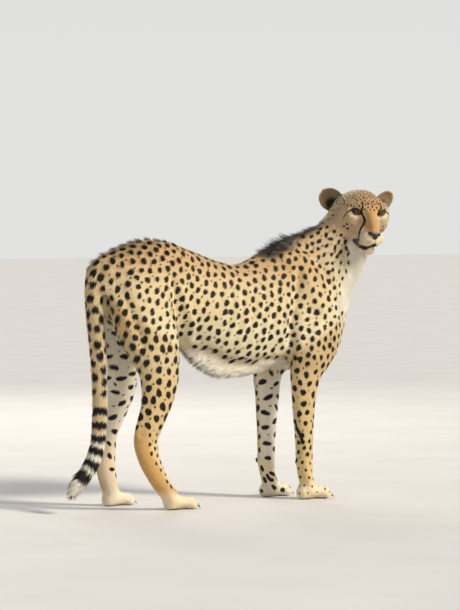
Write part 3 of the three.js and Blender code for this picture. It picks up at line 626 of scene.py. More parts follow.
# Each hollow's node, its path of x and z, its radius and its depth.
LEG_FOLDS = [
    ("shank_right", [(-330, 310), (-341, 262), (-351, 228)], 8, 5),
    ("shank_left", [(-336, 310), (-346, 262), (-356, 232)], 8, 5),
    ("shank_right", [(-262, 330), (-282, 262)], 8, -1.5),
    ("forearm_right", [(250, 330), (254, 250)], 7, 2),
    ("forearm_left", [(216, 330), (220, 250)], 7, 2),
]


def carve_toes(skin):
    """Parts the toes of each paw with grooves between the claws, and rounds each toe's back."""
    for paw, claws in CLAWS_OF.items():
        p = in_body(skin.points)
        roots = np.array([in_body(middle(c)) for c in claws])
        foot = in_body(middle(paw))
        ahead = unit((roots.mean(axis=0) - foot) * [1, 1, 0])
        aside = np.array([-ahead[1], ahead[0], 0])
        roots = roots[np.argsort(roots @ aside)]
        mine = skin.on(paw) & (p[:, 2] < 62)
        cut = np.zeros(mine.sum())

        def groove(start, end, depth, radius):
            gap, along = distance_to_path(p[mine][:, :2], [start[:2], end[:2]])
            return depth * bell(gap, radius) * ramp(1.0, 0.6, along)

        for a, b in zip(roots, roots[1:]):
            between = (a + b) / 2
            cut = np.maximum(cut, groove(between + 14 * ahead, between - 40 * ahead, 5.0, 3.4))
        for a in roots:
            cut -= groove(a - 4 * ahead, a - 34 * ahead, 2.2, 7.5)
        depth = np.zeros(len(p))
        depth[mine] = cut * ramp(-0.5, 0.1, skin.normals[mine, 2])
        skin.sink(spread(depth, skin.edges, 1))


def carve(skin):
    carve_eyes(skin)
    for fold in FACE_FOLDS:
        skin.press(in_head, *fold)
    for fold in BODY_FOLDS:
        skin.press(in_body, *fold)
    for fold in LEG_FOLDS:
        skin.press_leg(*fold)
    carve_toes(skin)


# ---------- the lie, length and colour of the coat ----------
TAIL_PATH = [(-395, 0, 722), (-432, -3, 700), (-448, -8, 640), (-446, -10, 560), (-438, -10, 480),
             (-432, -10, 382), (-432, -10, 270), (-440, -12, 194), (-470, -15, 130), (-508, -19, 92),
             (-528, -22, 62)]
TAIL_LENGTH = np.linalg.norm(np.diff(np.array(TAIL_PATH, float), axis=0), axis=1).sum()

# The lie of the hair on each part of the body, as a direction.
LIE = {
    "trunk": (-1, 0, -0.28), "neck": (-0.62, 0.18, -0.75), "upper_arm": (-0.42, 0, -1),
    "forearm": (-0.1, 0, -1), "thigh": (-0.5, 0, -1), "shank": (-0.15, 0, -1), "forefoot": (0.5, 0, -0.8),
    "hindfoot": (0.5, 0, -0.8), "tail_base": (-0.5, 0, -1), "tail_middle": (0, 0, -1),
    "tail_lower": (-0.35, 0, -1), "tail_tip": (-0.8, 0, -0.6),
}


class Coat:
    """Everything about the hair at each skin vertex: its lie, length, width, rise, crowding and colours."""

    def __init__(self, skin):
        self.skin = skin
        self.body = in_body(skin.points)
        self.head = in_head(skin.points)
        share = {k: skin.share(k, 10) for k in LIE}
        share["head"] = np.maximum(skin.share("head", 5), skin.share(("eye", "nose"), 2))
        share["ear"] = np.isin(skin.label, [skin.names.index(n) for n in EARS]).astype(float)
        share["leg"] = share["forearm"] + share["shank"]
        share["foot"] = share["forefoot"] + share["hindfoot"]
        share["tail"] = sum(share[k] for k in share if k.startswith("tail"))
        self.share = share
        self.lie = self.find_lie()
        self.zones()

    def find_lie(self):
        share, n = self.share, self.skin.normals
        flow = sum(share[k][:, None] * unit(np.array(v, float)) for k, v in LIE.items())
        x, _, z = self.body.T
        f, l, u = self.head.T
        for way, where in (
            ((-0.1, 0, -1), ramp(370, 440, x) * (1 - share["head"])),  # chest
            ((-0.4, 0, -1), ramp(-330, -400, x) * share["trunk"]),  # rump
            ((1, 0, -0.45), share["foot"] * ramp(60, 30, z)),
        ):
            flow = mix(flow, unit(np.array(way, float)), where)
        from_nose = np.stack([f - 78, l * 1.15, (u + 52) * 1.05], axis=1)
        from_nose[:, 0] -= 16 * ramp(30, 60, f)
        down_cheek = ramp(20, 60, np.abs(l)) * ramp(0, -50, u)
        from_nose = unit(from_nose) + down_cheek[:, None] * [-0.2, 0, -0.35]
        from_nose = mix(from_nose, np.array([-1.0, 0, -0.2]), ramp(-95, -118, u))
        flow = mix(flow, unit(from_nose @ HEAD_AXES.T), share["head"])
        for name, side in zip(EARS, BOTH):
            mine = self.skin.on(name)
            base, up, across, _ = ear_axes(side)
            fan = (self.head[mine] - base) @ across / EAR_HALF_WIDTH
            flow[mine] = unit(up + 0.5 * fan[:, None] * across) @ HEAD_AXES.T
        return unit(along_surface(flow, n))

    def zones(self):
        """Soft-edged places where the coat changes, each 0 to 1."""
        share = self.share
        x, y, z = self.body.T
        f, l, u = self.head.T
        n = self.skin.normals
        head, trunk = share["head"], share["trunk"]
        core = np.clip(trunk + share["neck"] + share["upper_arm"], 0, 1)
        off_crest = np.abs(y + 14 * ramp(400, 480, x))
        self.mane = core * ramp(0.0, 0.5, n[:, 2])
        half_mane = 40 - 20 * ramp(230, 290, x)
        self.mane *= ramp(half_mane + 12, half_mane - 10, off_crest) * ramp(128, 190, x)
        self.crest = self.mane * ramp(26, 8, off_crest)
        self.stand = ramp(-120, -200, x) * ramp(0.1, 0.5, n[:, 2]) * trunk
        lowest = 408 + 0.5 * np.clip(20 - x, 0, 90) - 0.12 * np.clip(x - 60, 0, 150)
        self.belly = ramp(lowest + 28, lowest - 16, z) * ramp(170, 115, x)
        between_legs = ramp(62, 44, np.abs(y)) * ramp(440, 415, z) * ramp(420, 380, x)
        self.belly = core * np.maximum(self.belly, between_legs * ramp(90, 140, x))
        self.fringe = core * ramp(-0.1, -0.75, n[:, 2]) * ramp(500, 440, z) * ramp(240, 150, x)
        self.fringe *= ramp(-175, -100, x) * self.belly
        self.chest = core * ramp(340, 420, x) * ramp(760, 700, z)
        self.throat = head * ramp(-92, -112, u) * ramp(40, 10, f) * ramp(-80, -40, f)
        pale_from = 440 - 0.25 * np.clip(z - 711, 0, None) - 0.49 * np.clip(711 - z, 0, None)
        front = ramp(-6, 8, x - pale_from) * ramp(530, 600, z)
        front *= ramp(0.4, 0.0, n[:, 1] + 0.75 * ramp(740, 580, z))
        self.throat = np.clip(self.throat + core * front, 0, 1)
        self.flank_fold = core * ramp(-105, -135, x) * ramp(-215, -185, x) * ramp(520, 495, z)
        self.toe = share["foot"] * ramp(26, 14, self.claw_gap())
        self.rump = trunk * ramp(-200, -280, x) * ramp(0.45, 0.85, n[:, 2])
        self.cheek = head * ramp(-15, -50, f) * ramp(10, -20, u) * ramp(30, 50, np.abs(l))
        self.face = head * ramp(-70, -25, f)
        self.muzzle = head * ramp(8, 30, f)
        self.nape = head * ramp(-85, -115, f) * ramp(0, 20, u)
        facing_in = ramp(0.1, -0.5, n[:, 1] * np.sign(y))
        self.inner_leg = (share["thigh"] + share["leg"] + 0.6 * share["foot"]) * facing_in
        hind = share["shank"] + share["hindfoot"]
        plain_below = 245 - 185 * ramp(-0.35, 0.5, n[:, 0])
        self.heel = hind * ramp(plain_below + 16, plain_below - 16, z)
        self.golden_heel = hind * ramp(plain_below + 52, plain_below - 44, z)
        self.thigh_back = share["thigh"] * ramp(-0.2, -0.8, n[:, 0])
        self.ear_inner = self.inner_ear()

    def claw_gap(self):
        """Distance in mm from the nearest claw's middle."""
        middles = [in_body(middle(c)) for claws in CLAWS_OF.values() for c in claws]
        return np.min([gap_from(self.body, m) for m in middles], axis=0)

    def inner_ear(self):
        """1 on the ears' inner faces, with each ear vertex's height from its base, 0 to 1, in ear_height."""
        inner = np.zeros(len(self.skin.points))
        self.ear_height = np.zeros(len(self.skin.points))
        rise = np.repeat(ear_rows(), EAR_ROWS + 1)
        for k in range(2):
            start = self.skin.count + 2 * len(rise) * k
            inner[start : start + len(rise)] = 1
            self.ear_height[start : start + 2 * len(rise)] = np.tile(rise, 2)
        return inner

    def settle_lengths(self):
        s = self.share
        table = [
            # where, and there: length mm, width mm, rise degrees, tufts per square cm, skin below the tips mm
            (s["upper_arm"], (9, 1.8, 9, 16, 2.6)),
            (s["neck"], (9.5, 1.6, 10, 21, 3.4)),
            (s["thigh"], (9.5, 1.8, 9, 16, 2.6)),
            (self.thigh_back, (17, 2.2, 18, 14, 6.0)),
            (s["leg"], (7, 1.5, 9, 22, 1.8)),
            (s["tail"], (16, 2.2, 14, 15, 5.5)),
            (s["tail_tip"], (28, 2.4, 18, 15, 9.0)),
            (s["foot"], (5.5, 1.5, 9, 27, 1.2)),
            (s["head"], (7, 1.4, 10, 30, 2.2)),
            (self.cheek, (13, 1.7, 15, 22, 5.0)),
            (self.nape, (14, 2.0, 16, 16, 5.0)),
            (self.face, (4.5, 1.1, 8, 48, 1.1)),
            (self.muzzle, (3.2, 0.9, 7, 70, 0.7)),
            (self.throat, (15, 1.9, 14, 18, 6.0)),
            (self.chest, (11, 1.8, 12, 17, 4.5)),
            (self.belly, (18, 2.2, 15, 14, 5.5)),
            (self.fringe, (32, 2.1, 19, 16, 15.0)),
            (self.fringe * ramp(0, 110, self.body[:, 0]), (18, 1.9, 16, 16, 8.0)),
            (self.rump, (11, 1.9, 14, 16, 3.6)),
            (self.mane, (24, 2.1, 15, 17, 7.0)),
            (self.crest, (30, 2.2, 28, 17, 12.0)),
            (self.crest * ramp(290, 220, self.body[:, 0]), (46, 2.4, 46, 15, 16.0)),
            (s["ear"], (5.5, 1.1, 11, 42, 0.5)),
            (self.ear_inner, (7, 1.0, 8, 26, 0.4)),
            (self.toe, (9, 1.6, 6, 30, 1.2)),
            (s["head"] * ramp(-88, -100, self.head[:, 2]), (10, 1.5, 12, 26, 3.0)),
        ]
        values = spread(layered((9.5, 1.8, 9, 15, 2.8), table, len(self.body)), self.skin.edges, 2)
        self.length, self.width, self.rise, self.crowding, self.depth = values.T


# ---------- the colours ----------
COLOURS = {
    "back": (212, 174, 120), "flank": (232, 209, 160), "low": (240, 224, 182), "white": (248, 238, 218),
    "shoulder": (220, 187, 136), "neck": (222, 196, 154), "leg": (226, 196, 138), "inner": (240, 230, 208),
    "paw": (240, 220, 182), "thigh": (218, 182, 126), "metatarsus": (208, 160, 94), "face": (200, 154, 96),
    "forehead": (196, 154, 104), "muzzle": (224, 204, 170), "cheek": (196, 168, 130), "chin": (240, 226, 198),
    "mane": (92, 82, 72), "tail": (232, 203, 154), "ear": (206, 160, 100), "ear_inner": (150, 126, 94),
    "ear_rim": (226, 178, 112), "mark": (24, 17, 11), "black": (13, 10, 9),
}
LIGHT = {name: linear(*seen) for name, seen in COLOURS.items()}


def colour_coat(coat):
    """The colour of the hair between the marks at each vertex, with painted shade in the hollow of each ear.
    """
    s = coat.share
    head, ear, foot, tail, thigh = (s[k] for k in ("head", "ear", "foot", "tail", "thigh"))
    x, _, z = coat.body.T
    f, l, u = coat.head.T
    wide = np.abs(l)
    n = coat.skin.normals
    # painted shade: black at the bottom of each ear's cup, where it opens into the head
    ear_hollow_shade = coat.ear_inner * ramp(26, 12, gap_from(folded(coat.head), [-113, 80, -16]))
    steps = [
        (ramp(735, 610, z + 0.06 * x), "flank"),
        (ramp(600, 500, z), "low"),
        (s["upper_arm"], "shoulder"),
        (thigh, "thigh"),
        (thigh * ramp(560, 430, z), "flank"),
        (s["neck"], "neck"),
        (s["neck"] * ramp(0.2, 0.8, n[:, 2]), "back"),
        (s["leg"] + foot, "leg"),
        (s["forearm"] * ramp(330, 400, z), "shoulder"),
        (coat.golden_heel * 0.85, "metatarsus"),
        (foot * ramp(66, 36, z), "paw"),
        (coat.flank_fold * 0.8, "low"),
        (coat.inner_leg, "inner"),
        (tail, "tail"),
        (tail * ramp(0.2, 0.8, n[:, 0]) * 0.8, "white"),
        (ramp(260, 190, z) * tail, "white"),
        (coat.belly, "white"),
        (coat.chest, "low"),
        (head, "face"),
        (head * ramp(8, 30, u), "forehead"),
        (head * ramp(24, 40, wide - 0.25 * u) * ramp(12, -12, u), "cheek"),
        (head * ramp(34, 60, wide) * ramp(-10, 10, u) * 0.7, "cheek"),
        (head * ramp(-34, -52, u + 0.3 * (14 - wide)) * ramp(4, 26, f), "muzzle"),
        (head * ramp(-40, -75, f), "neck"),
        (head * ramp(-86, -108, u + 0.35 * np.clip(wide - 30, 0, None)) * ramp(-70, -25, f), "chin"),
        (coat.throat, "white"),
        (ear, "ear"),
        (ear * (1 - coat.ear_inner) * bell(coat.ear_height - 0.4, 0.24), "mark"),
        (coat.ear_inner, "ear_inner"),
        (ear * ramp(0.86, 0.98, coat.ear_height), "ear_rim"),
        # the painted shade in the ears' hollows
        (ear_hollow_shade, "mark"),
        (coat.mane * 0.8, "mane"),
    ]
    for side in BOTH:
        sd, _, b, _, _ = lid_opening(coat.head - eye_centre(side), side)
        ahead = head * (f > -30)
        steps.append((0.9 * ahead * bell(sd - 7, 6.0) * ramp(3, -3, b), "muzzle"))
        steps.append((0.5 * ahead * bell(sd - 7, 4.0), "muzzle"))
    table = [(where, LIGHT[colour]) for where, colour in steps]
    return spread(layered(LIGHT["back"], table, len(x)), coat.skin.edges, 3)


# ---------- the marks ----------
SEARCH_CELL = 0.042  # m, of the grid that finds a spot's neighbours
# The room a spot keeps from the others, as a share of the spacing there.
LARGE_ROOM = 0.8
SMALL_ROOM = 0.98
LARGE_BESIDE_SMALL = 0.16
# The large ones are then moved apart a little, each by its nearest ones.
EVENING_ROUNDS = 10
EVENING_NEIGHBOURS = 7  # with the spot itself
EVENING_REACH = 0.62  # of the two spots' spacings together
EVENING_PUSH = 0.22  # of what is short of that reach


class Marks:
    """Solid spots scattered over the coat, with the lines of the face and the rings of the tail."""

    # Paths on the left of the head, in head mm, with their half widths at the start and the end.
    LINES = [
        ([(-1, 30, -4), (6, 21, -12), (12, 18, -23), (18, 21, -32), (21, 28, -42), (22, 31, -52),
          (20, 31, -66), (15, 29, -80), (13, 31, -92)], 3.6, 5.0),
        ([(0, 29, -1), (6, 30, 12), (4, 30, 24), (-5, 29, 34)], 3.4, 2.2),
        ([(-9, 54, 4), (-9, 67, -4), (-13, 73, -15), (-18, 78, -31)], 3.0, 1.4),
        ([(8, 1, 16), (5, 1, 26), (0, 1, 36)], 1.2, 1.6),
        ([(4, 16, 27), (-2, 18, 36)], 1.3, 1.8),
    ]
    STREAK = [(229, -66, 246), (235, -73, 221), (244, -81, 196), (250, -85, 176)]
    PATCH = [(214, 44, 68), (224, 37, 52)]

    # Single spots on the left cheek, in head mm, with their radii.
    CHEEK = [
        (-2, 62, -57, 4.0), (-10, 73, -54, 4.0), (-5, 71, -73, 5.0), (-12, 82, -66, 4.6), (-17, 80, -82, 4.6),
        (2, 66, -90, 4.4), (-12, 72, -96, 4.4), (-2, 55, -68, 2.8), (-30, 82, -74, 4.2), (-4, 66, -43, 3.6),
        (4, 53, -44, 2.2), (-26, 82, -54, 3.8),
    ]

    def __init__(self, coat):
        self.coat = coat
        self.size, self.spacing = self.settings()
        self.scatter()
        self.place_lines()

    def settings(self):
        c, s = self.coat, self.coat.share
        x, _, z = c.body.T
        f, _, u = c.head.T
        table = [
            (s["upper_arm"], (8.8, 27)),
            (s["upper_arm"] * ramp(440, 400, z), (9.5, 30)),
            (s["neck"], (7.6, 24)),
            (c.chest, (6.0, 25)),
            (c.mane, (7.0, 30)),
            (s["thigh"], (10.4, 31)),
            (s["forearm"], (9.4, 31)),
            (s["forearm"] * ramp(270, 170, z), (6.6, 25)),
            (s["shank"], (11.4, 32)),
            ((s["shank"] + s["hindfoot"]) * ramp(262, 225, z), (5.6, 21)),
            (s["forefoot"], (4.6, 23)),
            (s["foot"] * ramp(60, 40, z), (3.4, 22)),
            (s["tail"], (12.0, 32)),
            (c.inner_leg, (11.0, 42)),
            (s["head"], (3.0, 10.6)),
            (c.cheek, (3.4, 19)),
        ]
        near_cheek = c.face * ramp(18, 2, u) + c.cheek * ramp(-60, -40, f)
        plain = c.belly + c.flank_fold + near_cheek + c.muzzle + c.throat + s["ear"] + c.fringe + c.heel
        plain += s["foot"] * ramp(26, 14, z) + s["tail"] * ramp(350, 330, z)
        self.bare = plain > 0.5
        return layered((9.2, 29.5), table, len(x)).T

    def scatter(self):
        """Spots evenly spread by the spacing of the place they are in, and small faint ones between them."""
        skin, share = self.coat.skin, self.coat.share
        order = RANDOM.permutation(len(skin.points))
        order = order[~self.bare[order]]
        chosen = self.evened(self.apart(order, self.spacing * MM * LARGE_ROOM, []))
        large = len(chosen)
        body = order[(share["head"] + share["tail"] + share["foot"])[order] < 0.2]
        room = self.spacing * MM * SMALL_ROOM
        room[chosen] = self.spacing[chosen] * MM * LARGE_BESIDE_SMALL
        chosen = np.concatenate([chosen, self.apart(body, room, list(chosen))[large:]])
        count = len(chosen)
        small = np.arange(count) >= large
        self.centre = skin.points[chosen]
        self.normal, lie = skin.normals[chosen], self.coat.lie[chosen]
        streaming = np.clip(share["neck"] + share["head"] + self.coat.chest, 0, 1)[chosen]
        barred = self.coat.inner_leg[chosen]
        wanted = mix(np.array([0, 0, -1.0]) + 0.35 * lie, lie, streaming)
        wanted = mix(wanted, np.array([1.0, 0, 0]), barred)
        wanted = unit(along_surface(wanted, self.normal))
        turn = RANDOM.normal(0, 0.3, count)
        aside = np.cross(self.normal, wanted)
        self.along = wanted * np.cos(turn)[:, None] + aside * np.sin(turn)[:, None]
        self.across = np.cross(self.normal, self.along)
        radius = self.size[chosen] * MM * RANDOM.uniform(0.86, 1.1, count)
        radius = np.where(small, radius * RANDOM.uniform(0.24, 0.42, count), radius)
        longer = RANDOM.uniform(1.05, 1.42, count)
        longer = np.sqrt(longer * (1 + 0.4 * streaming * RANDOM.random(count) + 0.6 * barred))
        self.radii = np.stack([radius * longer, radius / longer], axis=1)
        self.phase = RANDOM.uniform(0, 2 * math.pi, (count, 2))
        self.tree = kd_tree(self.centre)

    def apart(self, order, spacing, chosen):
        """Adds vertices to those chosen, in a given order, none closer than the mean of both spacings."""
        points = self.coat.skin.points
        keys = np.floor(points / SEARCH_CELL).astype(int)
        taken = {}
        for i in chosen:
            taken.setdefault(tuple(keys[i]), []).append(i)
        for i in order:
            kx, ky, kz = keys[i]
            near = [j for a in (-1, 0, 1) for b in (-1, 0, 1) for c in (-1, 0, 1)
                    for j in taken.get((kx + a, ky + b, kz + c), ())]
            if near and (gap_from(points[near], points[i]) < (spacing[near] + spacing[i]) / 2).any():
                continue
            taken.setdefault((kx, ky, kz), []).append(i)
            chosen.append(i)
        return np.array(chosen)

    def evened(self, chosen):
        """Moves the spots apart over the skin until they lie about evenly."""
        skin = self.coat.skin
        surface = kd_tree(skin.points)
        at = skin.points[chosen]
        for _ in range(EVENING_ROUNDS):
            tree = kd_tree(at)
            spacing = self.spacing[chosen] * MM
            push = np.zeros_like(at)
            for i, p in enumerate(at):
                for q, j, gap in tree.find_n(p, EVENING_NEIGHBOURS)[1:]:
                    reach = (spacing[i] + spacing[j]) * EVENING_REACH
                    if 1e-9 < gap < reach:
                        push[i] += (p - np.array(q)) / gap * (reach - gap) * EVENING_PUSH
            found = np.array([surface.find(p)[1] for p in at + push])
            fine = ~self.bare[found]
            chosen = np.where(fine, found, chosen)
            at = np.where(fine[:, None], at + push, at)
        return np.unique(chosen)

    def nearest(self, points, how_many=3):
        found = np.zeros((len(points), how_many), np.int32)
        for i, p in enumerate(points):
            found[i] = [index for _, index, _ in self.tree.find_n(p, how_many)]
        return found

    def __call__(self, points):
        """Signed distance in mm to the nearest mark, negative inside it."""
        best = np.full(len(points), FAR)
        for k in self.nearest(points).T:
            q = points - self.centre[k]
            c = (q * self.normal[k]).sum(axis=1) / (self.radii[k, 1] * 1.6)
            a = (q * self.along[k]).sum(axis=1) / self.radii[k, 0]
            b = (q * self.across[k]).sum(axis=1) / self.radii[k, 1]
            angle = np.arctan2(b, a)
            first, second = self.phase[k].T
            ragged = 1 + 0.07 * np.cos(2 * angle + first) + 0.06 * np.cos(3 * angle + second)
            sd = (np.sqrt(a * a + b * b + c * c) * ragged - 1) * self.radii[k].min(axis=1) / MM
            best = np.minimum(best, sd)
        for more in (self.head_lines, self.tail_rings, self.streak):
            best = np.minimum(best, more(points))
        return best

    def place_lines(self):
        """Lays the face's paths and cheek spots onto the skin."""
        places = self.coat.head[(self.coat.share["head"] > 0.3) & (self.coat.head[:, 1] > -4)]
        tree = kd_tree(places)

        def laid(point):
            return places[tree.find(point)[1]]

        self.lines = []
        for path, start, end in self.LINES:
            stops = np.array(path, float)
            dense = [mix(a, b, t) for a, b in zip(stops, stops[1:]) for t in np.arange(0, 1, 0.34)]
            self.lines.append((np.array([laid(q) for q in dense + [stops[-1]]]), start, end))
        self.cheek = [(laid(q[:3]), q[3]) for q in self.CHEEK]

    def head_lines(self, points):
        """The lines of the face, the cheek's spots and the black round the eyes and the lips."""

        def rule(q):
            q = folded(q)
            found = np.full(len(q), FAR)
            for path, start, end in self.lines:
                gap, along = distance_to_path(q, path)
                found = np.minimum(found, gap - mix(start, end, along))
            for centre, radius in self.cheek:
                found = np.minimum(found, np.linalg.norm((q - centre) * [1, 0.7, 1], axis=1) - radius)
            sd, _, b, _, _ = lid_opening(q - eye_centre(1), 1)
            found = np.minimum(found, np.where(q[:, 0] > -30, sd - 2.9 - 1.0 * ramp(-2, 4, b), FAR))
            return np.minimum(found, lip_gap(q) - 1.2)

        p = in_head(points)
        return measured(p, gap_from(p, [-10, 0, -40]) < 130, rule)

    def streak(self, points):
        """The dark streak behind the right forearm and the dark patch on the left forefoot."""

        def rule(q):
            gap, along = distance_to_path(q, self.STREAK)
            patch, _ = distance_to_path(q, self.PATCH)
            uneven = 1.5 * np.sin(0.21 * q[:, 2]) + 1.2 * np.sin(0.4 * q[:, 0] + 0.13 * q[:, 2])
            return np.minimum(gap - mix(1.5, 7.0, along), patch - 6) + uneven

        p = in_body(points)
        return measured(p, (p[:, 0] > 190) & (p[:, 2] < 260), rule)

    def tail_rings(self, points):
        def rule(q):
            place = distance_to_path(q, TAIL_PATH)[1] * TAIL_LENGTH
            wobble = 2.5 * np.sin(0.13 * q[:, 1] + 0.09 * q[:, 0] + 0.045 * place)
            rings = [np.abs(place + wobble - (TAIL_LENGTH - from_end)) - half for from_end, half in RINGS]
            return np.minimum(np.min(rings, axis=0), FAR)

        p = in_body(points)
        return measured(p, (p[:, 0] < -390) & (p[:, 2] < 430), rule)


# ---------- the skin's own unwrap ----------
ISLAND_GAP = 0.004  # m
ROW_SLACK = 1.12  # how much wider the square is than its islands' area asks for


def unwrap(skin):
    """A flat place for each face corner: each part's six sides laid out apart on one square."""
    mesh = skin.mesh
    loops = read(mesh.loops, "vertex_index", 1, np.int32)
    starts = read(mesh.polygons, "loop_start", 1, np.int32)
    totals = read(mesh.polygons, "loop_total", 1, np.int32)
    normals = read(mesh.polygons, "normal", 3)
    side = np.abs(normals).argmax(axis=1)
    side = side * 2 + (np.take_along_axis(normals, side[:, None], 1)[:, 0] > 0)
    island = skin.label[loops[starts]] * 6 + side
    island_of_loop = np.repeat(island, totals)
    points = skin.points[loops]
    flat = np.zeros((len(loops), 2))
    boxes = []
    for key in np.unique(island):
        mine = island_of_loop == key
        keep = [k for k in range(3) if k != (key % 6) // 2]
        spot = points[mine][:, keep]
        flat[mine] = spot - spot.min(axis=0)
        boxes.append((key, *flat[mine].max(axis=0)))
    boxes.sort(key=lambda box: -box[2])
    wide = math.sqrt(sum((w + ISLAND_GAP) * (h + ISLAND_GAP) for _, w, h in boxes)) * ROW_SLACK
    x = y = tall = 0.0
    for key, w, h in boxes:
        if x + w + ISLAND_GAP > wide:
            x, y, tall = 0.0, y + tall + ISLAND_GAP, 0.0
        flat[island_of_loop == key] += [x + ISLAND_GAP / 2, y + ISLAND_GAP / 2]
        x += w + ISLAND_GAP
        tall = max(tall, h)
    return flat / max(wide, y + tall + ISLAND_GAP)


# ---------- tufts ----------
TUFT_PATCH = 0.003  # of the unwrap
MOST_TRIANGLES = 190000
GROUPS = {
    "head": ("head", "eye", "nose"), "ears": "ear", "neck": "neck", "trunk": "trunk",
    "shoulders": "upper_arm", "thighs": "thigh", "legs": ("forearm", "shank"), "paws": PAWS, "tail": "tail",
}
# Stations along a tuft with its width there, for the short, the middling and the long hair.
SHAPES = [
    [(0, 1.0)],
    [(0, 1.0), (0.5, 0.72)],
    [(0, 1.0), (0.34, 0.9), (0.7, 0.55)],
]
SHORT, LONG = 15.0, 30.0  # mm, where one shape gives way to the next
LOCKED = 22  # mm, the length from which tufts gather in locks
TUFTS_IN_LOCK = 12
LOCK_PULL = 0.7  # of the way to the lock's middle
YAW = 0.16  # how unevenly the tufts turn, in radians
SWAY = 0.07  # and bend aside, as a share of their length
STAND_RISE = math.radians(26)  # more than the others, for the dark tufts that stand up along the rump
STAND_LENGTH = 0.7
SOLE = 4  # mm above the ground, where no hair grows


class Roots:
    """The places where tufts grow, with everything known there."""

    def __init__(self, coat, marks, flat):
        skin = coat.skin
        skin.mesh.calc_loop_triangles()
        corners = read(skin.mesh.loop_triangles, "vertices", 3, np.int32)
        loops = read(skin.mesh.loop_triangles, "loops", 3, np.int32)
        a, b, c = (skin.points[corners[:, k]] for k in range(3))
        area = np.linalg.norm(np.cross(b - a, c - a), axis=1) / 2 * 1e4
        wanted = area * coat.crowding[corners].mean(axis=1)
        number = np.floor(wanted + RANDOM.random(len(corners))).astype(int)
        of = np.repeat(np.arange(len(corners)), number)
        r1, r2 = np.sqrt(RANDOM.random(len(of))), RANDOM.random(len(of))
        self.weight = np.stack([1 - r1, r1 * (1 - r2), r1 * r2], axis=1)
        self.corners = corners[of]
        take = self.take
        self.at, self.normal, self.lie = take(skin.points), unit(take(skin.normals)), unit(take(coat.lie))
        self.length, self.width, self.rise = take(coat.length), take(coat.width), take(coat.rise)
        self.colour, self.hang, self.silver, self.stand = (
            take(values) for values in (coat.base, coat.fringe, coat.mane, coat.stand)
        )
        self.label = skin.label[self.corners[:, 0]]
        self.flat = (flat[loops[of]] * self.weight[..., None]).sum(axis=1)
        grows = self.shortened()
        for name, values in list(vars(self).items()):
            setattr(self, name, values[grows])
        self.mark = marks(self.at + self.lie * (self.length * 0.5 * MM)[:, None])
        self.gather()

    def take(self, values):
        """A vertex value at each root."""
        weight = self.weight if values.ndim == 1 else self.weight[..., None]
        return (values[self.corners] * weight).sum(axis=1)

    def gather(self):
        """The pull of each long tuft's tip towards the middle of the lock it is in."""
        self.pull = np.zeros_like(self.at)
        long = np.flatnonzero(self.length > LOCKED)
        locks = self.at[RANDOM.choice(long, len(long) // TUFTS_IN_LOCK, replace=False)]
        tree = kd_tree(locks)
        middle_of = np.array([tree.find(p)[0] for p in self.at[long]])
        self.pull[long] = along_surface(middle_of - self.at[long], self.normal[long]) * LOCK_PULL

    def shortened(self):
        """Shortens the hair round the eyes, the lips and the nose pad, and says where any grows at all."""
        p = in_head(self.at)
        keep = in_body(self.at)[:, 2] >= SOLE
        shorter = np.ones(len(p))
        for side in BOTH:
            sd = lid_opening(p - eye_centre(side), side)[0]
            near = gap_from(p, eye_centre(side)) < 40
            keep &= ~(near & (sd < 3.0))
            shorter = np.where(near, np.minimum(shorter, 0.45 + 0.55 * ramp(2, 10, sd)), shorter)
        lip = lip_gap(p)
        keep &= lip > 0.2
        shorter = np.minimum(shorter, 0.45 + 0.55 * ramp(0, 7, lip))
        pad = np.linalg.norm((p - NOSE_PLACE) / [17, 21, 17], axis=1)
        keep &= pad > 1.0
        self.length = self.length * np.minimum(shorter, 0.4 + 0.6 * ramp(1.0, 1.5, pad))
        return keep


def tuft_colours(roots, pick):
    """The tufts' colours: the coat's own, or the mark's where the root lies in one."""
    count = len(pick)
    inside = ramp(0.5, -0.5, roots.mark[pick] + RANDOM.normal(0, 0.35, count))
    own = roots.colour[pick] * RANDOM.uniform(0.9, 1.08, count)[:, None]
    own *= 1 + RANDOM.normal(0, 0.015, (count, 3))
    frosted = mix(linear(14, 12, 12), linear(152, 144, 134), RANDOM.random((count, 1)) ** 2.4)
    own = mix(own, frosted, roots.silver[pick][:, None] * 0.9)
    dark = LIGHT["mark"] * RANDOM.uniform(0.6, 1.5, count)[:, None]
    return mix(own, dark, inside)


